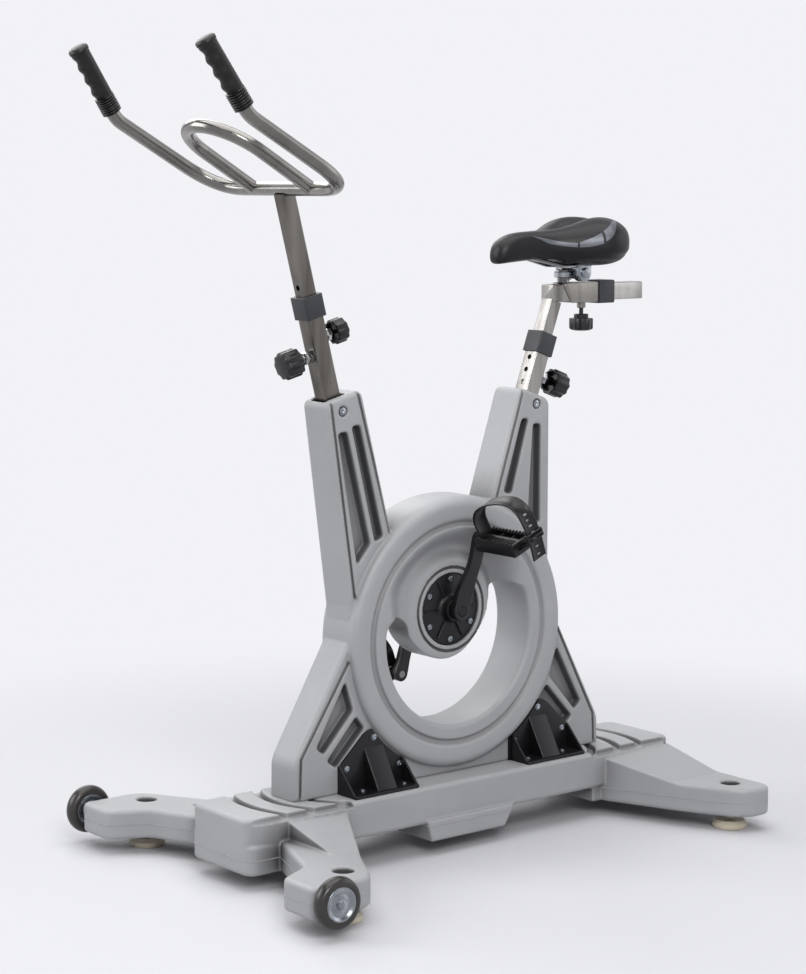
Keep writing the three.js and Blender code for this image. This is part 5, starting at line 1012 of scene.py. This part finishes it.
def add_knob(name, body, matrix, radius, start, height, tip=PIN_TIP, cup=0.0, neck=0.0):
    """A fluted hand knob along +X with a domed face, a hollow or a shoulder at its back, and its pin down to tip."""
    flutes, flute, rim = 10, 0.045, 6
    shape = []
    for k in range(120):
        a = 2 * math.pi * k / 120
        r = radius * (1 - flute * (1 - math.cos(flutes * a)))
        shape.append((r * math.cos(a), r * math.sin(a)))
    low, high = start - cup, start + height
    layers = [(inset(shape, 1.2), low), (inset(shape, 0.3), low + 0.4), (shape, low + 1.2), (shape, high - rim)]
    for turn in (math.pi / 8 * k for k in range(1, 5)):
        layers.append((inset(shape, 3.2 * (1 - math.cos(turn))), high - rim + 3.6 * math.sin(turn)))
    for share, up in ((0.78, 0.8), (0.6, 1.5), (0.35, 2.1), (0.12, 2.4)):
        layers.append((circle(radius * share, 120), high - 2.4 + up))
    head = stack(layers, "yz")
    if cup:
        hollow = [(0, low - 5), (radius * 0.8, low - 5), (radius * 0.78, start - 0.5), (0, start - 0.5)]
        head = carve(head, [lathe(hollow, 40, "x")])
    made = Solid(head, matrix)
    if neck:
        wide, back = radius * 0.6, start - neck
        made.add(lathe([(0, back), (wide - 1, back), (wide, back + 1), (wide, start + 1), (0, start + 1)], 40, "x"),
                 matrix)
    pin = [(0, tip), (3.1, tip), (3.7, tip + 0.6), (3.7, start + 1), (0, start + 1)]
    made.add(lathe(pin, 24, "x"), matrix, 1)
    made.build(name + "_knob", body, ["knob", "zinc"], name, 35)


def posts():
    outer_tube(FRONT_POST, [wall_hole(PIN_HOLE, FRONT_PIN, 1), wall_hole(PIN_HOLE, FRONT_CLAMP, -1)],
               "handlebar_outer_tube", "front_post")
    holes = [wall_hole(PIN_HOLE, SEAT_PIN, -1)] + [wall_hole(POST_HOLE, 6 + HOLE_PITCH * i, 1) for i in range(3)]
    outer_tube(REAR_POST, holes, "seat_outer_tube", "rear_post")
    collar(FRONT_POST, "handlebar_collar")
    collar(REAR_POST, "seat_collar")
    boss(FRONT_POST, FRONT_PIN, 1, SLEEVE, "handlebar_pin_boss")
    boss(FRONT_POST, FRONT_CLAMP, -1, 0.6, "handlebar_clamp_boss")
    boss(REAR_POST, SEAT_PIN, -1, SLEEVE, "seat_pin_boss")
    add_knob("handlebar_pop_pin", "handlebar_pin", post_matrix(FRONT_POST, 1, FRONT_PIN), **POP_KNOB)
    add_knob("handlebar_clamp_knob", "handlebar_clamp", post_matrix(FRONT_POST, -1, FRONT_CLAMP), **CLAMP_KNOB)
    add_knob("seat_pop_pin", "seat_pin", post_matrix(REAR_POST, -1, SEAT_PIN), **POP_KNOB)


# Handlebar

POST_TOP, BAR_R = 338.0, 11.0
BAR_AT = post_matrix(FRONT_POST) @ Vector((0, 0, POST_TOP + 6.05))
ELBOW, TIP = (190.8, 178.0, 107.1), (262.66, 171.6, 213.6)
LOOP_AHEAD, LOOP_HALF, LOOP_UP = 160.0, 75.0, 95.0
GRIP_LONG, GRIP_R, GRIP_BODY = 118.3, 15.0, 108
# The grip's cap as (place from the tip, radius)
GRIP_CAP = [(0.0, 0.2), (0.1, 5), (0.4, 9), (1.1, 12.4), (2.2, 14.6), (3.6, 15.8), (5.2, 16.2), (8, 16.2),
            (9.4, 15.8), (10, 15.0)]


def on_bar(ahead, y, up):
    return BAR_AT + Vector((ahead, y, up))


def half_bar(y):
    return [on_bar(0, y * ELBOW[1], 0), on_bar(ELBOW[0], y * ELBOW[1], ELBOW[2]),
            on_bar(TIP[0], y * TIP[1], TIP[2])]


def handlebar():
    post = carve(square_bar(INNER, INNER_CORNER, 43, POST_TOP),
                 [square_bar(21, 1.2, 40, 400), wall_hole(POST_HOLE, 187, 1)])
    seat = moved(cylinder(BAR_R + 0.2, -FAR, FAR, 48), Matrix.Translation(BAR_AT))
    Solid(carve(moved(post, post_matrix(FRONT_POST)), [seat])).build(
        "handlebar_post_steel", "handlebar_set", "front_post", "handlebar_post", 30)
    tube = Solid(sweep(bent([*half_bar(1)[::-1], *half_bar(-1)], [12, 75, 75, 12], 16), BAR_R, 40))
    a, b, c, d = [on_bar(0, LOOP_HALF, 0), on_bar(LOOP_AHEAD, LOOP_HALF, LOOP_UP),
                  on_bar(LOOP_AHEAD, -LOOP_HALF, LOOP_UP), on_bar(0, -LOOP_HALF, 0)]
    up, over = (b - a).normalized(), (c - b).normalized()
    middle = b - up * LOOP_HALF + over * LOOP_HALF
    arch = [middle - over * LOOP_HALF * math.cos(t) + up * LOOP_HALF * math.sin(t)
            for t in (math.pi * k / 40 for k in range(41))]
    tube.add(sweep([a, *arch, d], BAR_R - GAP, 40))
    tube.build("handlebar_tube", "handlebar_set", "bar", "handlebar", 50)
    for side, y in SIDES.items():
        grip(side, y)


WAVES = {"start": 12, "end": 89, "pitch": 22, "deep": 3.0}
RIBS = {"start": 14, "end": 88, "pitch": 3.0, "deep": 0.5}
RINGS = {"start": 90, "end": 130, "pitch": 4.0, "deep": 1.9}


def wave_depth(waves, s):
    inside = waves["start"] < s < waves["end"]
    return waves["deep"] * swell((s - waves["start"]) / waves["pitch"]) if inside else 0.0


def grip_radius(s, a):
    """The grip's radius at a place and a turn: finger waves ahead, fine ribs behind, rings at its foot."""
    if s > RINGS["start"]:
        return GRIP_R + 0.9 - wave_depth(RINGS, s) ** 2 / RINGS["deep"]
    ahead, behind = ease((math.cos(a) - 0.1) / 0.6), ease((-math.cos(a) - 0.25) / 0.3)
    return GRIP_R - wave_depth(WAVES, s) * ahead - wave_depth(RIBS, s) * behind


def grip(side, y):
    """A moulded grip with a domed cap on the tip."""
    _, elbow, tip = half_bar(y)
    back = (elbow - tip).normalized()
    start = tip - back * 3.3
    ahead = (Vector((1, 0, 0)) - back * back.x).normalized()
    aside = back.cross(ahead)

    def ring(s, radius):
        turns = (2 * math.pi * k / 48 for k in range(48))
        return [start + back * s + (ahead * math.cos(a) + aside * math.sin(a)) * (radius or grip_radius(s, a))
                for a in turns]

    cap_end, rows = GRIP_CAP[-1][0], [ring(s, r) for s, r in GRIP_CAP]
    rows += [ring(cap_end + GRIP_BODY * i / 201, None) for i in range(1, 201)] + [ring(GRIP_LONG, GRIP_R - 0.6)]
    bore = sweep([tip + back * 0.4, tip + back * 130], BAR_R + 0.15, 40)
    Solid(carve(loft(rows), [bore])).build(f"grip_moulding_{side}", "handlebar_set", "grip", f"grip_{side}", 60)


# Seat post, carriage and saddle

BAR_Z, BAR_FRONT, BAR_REAR, DOT_X = solid_box("seat_post")[1][2] - OUTER / 2, -230, -443, -405
CARRIAGE_FRONT, CARRIAGE_LOW, CLAMP_X = -251, -273, -310
CARRIAGE_REAR, CARRIAGE_HALF = solid_box("carriage")[0][0], solid_box("carriage")[1][1]
PILLAR_X, PILLAR_R, RAIL_R, CRADLE_R = centre("saddle_pillar")[0], 11, 3.5, 15
CLAMP_BOLT = centre("saddle_clamp_bolt")[::2]
ALONG_BAR = shift(0, 0, BAR_Z) @ turned(90, "Y")


def seat_post():
    reach = (BAR_Z - REAR_POST["z"]) / math.cos(math.radians(REAR_LEAN))
    inner = carve(square_bar(INNER, INNER_CORNER, 3, reach - 14),
                  [wall_hole(POST_HOLE, 6 + HOLE_PITCH * i, 1) for i in (1, 2)])
    bar = moved(slab(square(OUTER, OUTER_CORNER), BAR_REAR, BAR_FRONT, 0.8, "xy", 2), ALONG_BAR)
    dots = [moved(cylinder(POST_HOLE, OUTER / 2 - 0.6, 30), shift(DOT_X, 0, BAR_Z) @ turn_to(y))
            for y in SIDES.values()]
    made = Solid(moved(inner, post_matrix(REAR_POST))).add(carve(bar, dots), None, 1)
    made.build("seat_post_steel", "seat_set", ["rear_post", "seat_bar"], "seat_post", 30)


def carriage():
    half = CARRIAGE_HALF
    room = moved(square_bar(OUTER + 0.6, 2.6, -500, -200), ALONG_BAR)
    shape = rounded([(CARRIAGE_FRONT, BAR_Z + half), (CARRIAGE_LOW, BAR_Z - half), (CARRIAGE_REAR, BAR_Z - half),
                     (CARRIAGE_REAR, BAR_Z + half)], [13, 3, 0, 0], 8)
    # A dark liner stands out past the sleeve's front, so that its edge shows as a fine dark line.
    lining = [(x + 1.8 if x > -300 else x, z) for x, z in inset(shape, 0.6)]
    sleeve = carve(slab(shape, -half, half, 1.6, "xz", 4), [room])
    liner = carve(slab(lining, -half + 0.9, half - 0.9, 0.3, "xz", 2), [room])
    neck = [(PIN_HOLE, -16), (7.5, -16), (7.5, -26.8), (6.9, -27.5), (PIN_HOLE, -27.5)]
    made = Solid(sleeve).add(lathe(neck, 36, "z"), shift(CLAMP_X, 0, BAR_Z), 1).add(liner, None, 2)
    made.build("carriage_sleeve", "carriage_set", ["seat_bar", "chrome", "black"], "carriage", 30)
    ring = moved(slab(square(40, 3.5), -371, CARRIAGE_REAR - GAP, 1.2, "xy"), ALONG_BAR)
    Solid(carve(ring, [room])).build("carriage_collar_moulding", "carriage_set", "collar", "carriage_collar", 30)
    down = shift(CLAMP_X, 0, BAR_Z) @ turned(90, "Y")
    add_knob("carriage_clamp_knob", "carriage_clamp", down, **CARRIAGE_KNOB)


def saddle_mount():
    pillar, (bolt_x, bolt_z) = shift(PILLAR_X, 0, 0), CLAMP_BOLT
    low, top = BAR_Z + 17.8, BAR_Z + 40
    post = [(0, low), (PILLAR_R, low), (PILLAR_R, top - 1), (PILLAR_R - 1, top), (0, top)]
    Solid(lathe(post, 40, "z"), pillar).build("saddle_pillar_tube", "carriage_set", "chrome", "saddle_pillar", 30)
    room = moved(cylinder(PILLAR_R + GAP, low - 30, top + 50, 40, "z"), pillar)
    on_bolt = shift(bolt_x, 0, bolt_z)
    hole = moved(cylinder(4.3, -FAR, FAR), on_bolt)
    under, over, out = bolt_z - 8, bolt_z + 2, PILLAR_R + 4.3
    ring = lathe([(0, under), (out - 1, under), (out, under + 1), (out, over - 1), (out - 1, over), (0, over)], 48, "z")
    eye = moved(lathe([(0, -13), (10, -13), (11, -12), (11, 12), (10, 13), (0, 13)]), on_bolt)
    clamp = carve(carve(moved(ring, pillar), [eye], "UNION"), [room, hole])
    Solid(clamp).build("saddle_clamp_casting", "carriage_set", "zinc", "saddle_clamp", 30)
    bolt = [(0, -34.8), (4, -34.8), (7.6, -34.2), (9, -32.6), (9, -29.8), (4, -29.8), (4, 29.8), (9, 29.8), (9, 32.6),
            (7.6, 34.2), (4, 34.8), (0, 34.8)]
    Solid(lathe(bolt, 40), on_bolt).build("saddle_clamp_bolt_steel", "carriage_set", "zinc", "saddle_clamp_bolt", 30)
    rail = lambda y: [(-172, y * 9, 975), (-248, y * 22, 957), (-300, y * 22, 957), (-352, y * 34, 972)]
    path = bent([*rail(1)[::-1], *rail(-1)], [8.5] * 6, 10)
    arc = [(CRADLE_R * math.cos(a), CRADLE_R * math.sin(a)) for a in (math.radians(-k) for k in range(0, 181, 12))]
    cheek = [(bolt_x + x, bolt_z + z) for x, z in [(-CRADLE_R, CRADLE_R), (CRADLE_R, CRADLE_R), *arc]]
    cheeks = [slab(cheek, *sorted((y * 13.3, y * 29.5)), 1.2) for y in (1, -1)]
    bridge = slab(box(bolt_x - 11, bolt_x + 11, -29, 29), bolt_z + 11.3, bolt_z + CRADLE_R, 0.8, "xy", 2)
    made = carve(carve(cheeks[0], [cheeks[1], bridge], "UNION"), [hole, sweep(path, RAIL_R + GAP, 16)])
    Solid(made).build("rail_cradle_casting", "saddle_set", "zinc", "rail_cradle", 30)
    Solid(sweep(path, RAIL_R, 24)).build("saddle_rail_wire", "saddle_set", "chrome", "saddle_rails", 60)


SADDLE_REAR, SADDLE_NOSE, SADDLE_LOW, SADDLE_TOP = -369.5, -109.0, BAR_Z + 51, BAR_Z + 130.5
SADDLE_HALF, SADDLE_DIP = 95, 14
# Place along the saddle from its rear, then its half width, top and underside there, as shares of its size
SADDLE_SHARES = [
    (0, 0.3, 0.56, 0.42), (0.025, 0.56, 0.76, 0.22), (0.08, 0.82, 0.93, 0.04), (0.17, 0.97, 1, -0.06),
    (0.28, 1, 0.98, -0.05), (0.4, 0.82, 0.86, 0), (0.5, 0.59, 0.76, 0.05), (0.6, 0.41, 0.71, 0.08),
    (0.7, 0.32, 0.69, 0.08), (0.8, 0.28, 0.67, 0.06), (0.88, 0.26, 0.62, 0.04), (0.95, 0.22, 0.52, 0.02),
    (0.985, 0.16, 0.4, 0.02), (1, 0.1, 0.27, 0.06)]
# The stripe's three fields, as stations of place along the saddle and turn of the lower and upper edge, in degrees
STRIPES = [[(0.75, 44, 45), (0.655, 12, 27), (0.56, 3, 13), (0.48, 0, 8)],
           [(0.47, 0, 9), (0.41, 0.5, 16), (0.345, 3, 25)],
           [(0.33, 6, 28), (0.28, 15, 36), (0.22, 34, 47), (0.13, 56, 58)]]


def saddle_share(place_on, column):
    """The saddle's own measure at a place along it, as a smooth line through the table of its stations."""
    xs, ys = [row[0] for row in SADDLE_SHARES], [row[column] for row in SADDLE_SHARES]
    last = len(xs) - 1
    i = max(1, next((k for k, x in enumerate(xs) if x >= place_on), last))
    slope = lambda k: (ys[min(k + 1, last)] - ys[max(k - 1, 0)]) / (xs[min(k + 1, last)] - xs[max(k - 1, 0)])
    width = xs[i] - xs[i - 1]
    t = (place_on - xs[i - 1]) / width
    return ((2 * t ** 3 - 3 * t * t + 1) * ys[i - 1] + (t ** 3 - 2 * t * t + t) * slope(i - 1) * width
            + (3 * t * t - 2 * t ** 3) * ys[i] + (t ** 3 - t * t) * slope(i) * width)


def saddle_point(place_on, turn):
    """A point on the saddle's skin, by its place along it from the rear and its turn about it."""
    half = SADDLE_HALF * saddle_share(place_on, 1)
    top, low = [SADDLE_LOW + (SADDLE_TOP - SADDLE_LOW) * saddle_share(place_on, column) for column in (2, 3)]
    middle = low + (top - low) * 0.42
    dip = SADDLE_DIP * ease((place_on - 0.02) / 0.2) * ease((0.6 - place_on) / 0.25)
    c, s = math.cos(turn), math.sin(turn)
    wide = math.copysign(abs(c) ** 0.8, c)
    x = SADDLE_REAR + (SADDLE_NOSE - SADDLE_REAR) * place_on
    if s >= -1e-9:
        return Vector((x, half * wide, middle + (top - middle) * abs(s) ** 0.75 - dip * math.exp(-((wide / 0.2) ** 2))))
    return Vector((x, half * wide * (1 - 0.07 * ease(-s / 0.3)), middle + (low - middle) * abs(s) ** 0.5))


def skin_patch(stations, side, lift=0.35):
    """A thin field laid on the saddle's skin, with a raised face and closed sides."""
    rows = []
    for place_on, low, high in spline(stations, 8):
        inner, outer = [], []
        for k in range(13):
            turn = math.radians(low + (high - low) * k / 12)
            if side < 0:
                turn = math.pi - turn
            p = saddle_point(place_on, turn)
            across = saddle_point(place_on, turn + 0.02) - saddle_point(place_on, turn - 0.02)
            along = saddle_point(place_on + 0.005, turn) - saddle_point(place_on - 0.005, turn)
            out = across.cross(along).normalized()
            if out.dot(p - Vector((p.x, 0, SADDLE_LOW))) < 0:
                out = -out
            inner.append(p - out * 1.2)
            outer.append(p + out * lift)
        rows.append(outer + inner[::-1])
    return loft(rows)


def saddle():
    places = [(1 - math.cos(math.pi * i / 88)) / 2 for i in range(89)]
    rows = [[saddle_point(place_on, 2 * math.pi * k / 96) for k in range(96)] for place_on in places]
    obj = Solid(loft(rows)).build("saddle_cushion", "saddle_set", "vinyl", "saddle", 70)
    for side, y in SIDES.items():
        stripe = Solid()
        for stations in STRIPES:
            stripe.add(skin_patch(stations, y))
        stripe.build(f"saddle_stripe_{side}", "saddle_set", "stripe", angle=60)


for make in (body_shell, base, feet, wheels, brackets, body_bolts, hub_covers, cranks, pedals, posts, handlebar,
             seat_post, carriage, saddle_mount, saddle):
    make()

# Camera, floor and light

CAMERA_PLACE = (2.5036, 3.0632, 1.1114)
CAMERA_YAW, CAMERA_PITCH = 39.06, 7.35
FOCAL_LENGTH = 89.39
BACKDROP, OVERHEAD, PAPER, AMBIENT = (0.885, 0.887, 0.925), (0.06, 0.06, 0.065), (0.56, 0.561, 0.585), (0.95, 0.97, 1)
SHADOW_END, PAPER_END, FLOOR_HALF = 0.65, 1.9, 9.0


def camera():
    data = bpy.data.cameras.new("camera")
    data.sensor_fit, data.sensor_height, data.lens, data.clip_end = "VERTICAL", 36.0, FOCAL_LENGTH, 60.0
    obj = linked("camera", data)
    obj.location = CAMERA_PLACE
    obj.rotation_euler = (math.radians(90 - CAMERA_PITCH), 0, math.radians(180 - CAMERA_YAW))
    bpy.context.scene.camera = obj
    bpy.context.scene.view_settings.view_transform = "Standard"


def mixed(tree, share, first, second):
    return node(tree, "ShaderNodeMixShader", in_0=share, in_1=first.outputs[0], in_2=second.outputs[0])


def lit_for_camera(tree, seen, unseen):
    """Shows one shader to the camera and in reflections, and the other as light."""
    path = node(tree, "ShaderNodeLightPath").outputs
    total = path["Is Camera Ray"]
    for ray in ("Is Glossy Ray", "Is Transmission Ray"):
        total = node(tree, "ShaderNodeMath", operation="MAXIMUM", in_0=total, in_1=path[ray]).outputs[0]
    return mixed(tree, total, unseen, seen)


def world():
    """Pale all round; only the part high above, which no view sees, is dark, so that metal has something to mirror."""
    made = bpy.data.worlds.new("studio")
    made.use_nodes = True
    bpy.context.scene.world = made
    tree = made.node_tree
    split = node(tree, "ShaderNodeSeparateXYZ", in_0=node(tree, "ShaderNodeTexCoord").outputs["Generated"])
    sky = colour_ramp(tree, split.outputs["Z"], (0.5, BACKDROP), (0.75, OVERHEAD))
    seen = node(tree, "ShaderNodeBackground", in_Color=sky, in_Strength=1.0)
    unseen = node(tree, "ShaderNodeBackground", in_Color=(*AMBIENT, 1), in_Strength=0.12)
    fill(tree, tree.nodes["World Output"], in_Surface=lit_for_camera(tree, seen, unseen).outputs[0])


def floor():
    """A paper floor that keeps the shadow near the bike and runs into the backdrop's colour farther off."""
    mesh = bpy.data.meshes.new("floor")
    mesh.from_pydata([(x, y, 0) for x, y in box(-FLOOR_HALF, FLOOR_HALF, -FLOOR_HALF, FLOOR_HALF)], [], [[0, 1, 2, 3]])
    mat = bpy.data.materials.new("floor_paper")
    mat.use_nodes = True
    tree = mat.node_tree
    paper = fill(tree, tree.nodes["Principled BSDF"], in_Base_Color=(*PAPER, 1), in_Roughness=0.7,
                 in_Specular_IOR_Level=0.2)
    far = node(tree, "ShaderNodeEmission", in_Color=(*BACKDROP, 1), in_Strength=1.0)
    away = node(tree, "ShaderNodeVectorMath", operation="LENGTH",
                in_0=node(tree, "ShaderNodeTexCoord").outputs["Object"]).outputs["Value"]
    spread = node(tree, "ShaderNodeMapRange", interpolation_type="SMOOTHERSTEP", in_Value=away, in_1=SHADOW_END,
                  in_2=PAPER_END).outputs["Result"]
    mix = mixed(tree, spread, paper, lit_for_camera(tree, far, paper))
    fill(tree, tree.nodes["Material Output"], in_Surface=mix.outputs[0])
    mesh.materials.append(mat)
    linked("floor", mesh)


def lamp(name, place_at, target, size, power, color=(1, 1, 1)):
    data = bpy.data.lights.new(name, "AREA")
    data.shape, data.energy, data.color = "RECTANGLE", power, color
    data.size, data.size_y = size
    obj = linked(name, data)
    obj.location = place_at
    obj.rotation_euler = (Vector(target) - Vector(place_at)).to_track_quat("-Z", "Y").to_euler()


def lights():
    middle, high = (0.0, 0.0, 0.6), (0.0, 0.0, 1.0)
    lamp("key", (1.7, 3.3, 2.7), high, (2.0, 1.6), 100)
    lamp("front", (2.9, -2.0, 2.2), high, (2.2, 2.2), 70)
    lamp("top", (0.1, 0.2, 3.4), middle, (3.6, 3.6), 120)
    lamp("rim", (-0.6, -3.0, 2.8), middle, (2.6, 1.6), 40)
    lamp("fill", (-3.0, 1.8, 1.8), middle, (2.0, 2.0), 12, AMBIENT)


camera()
world()
floor()
lights()
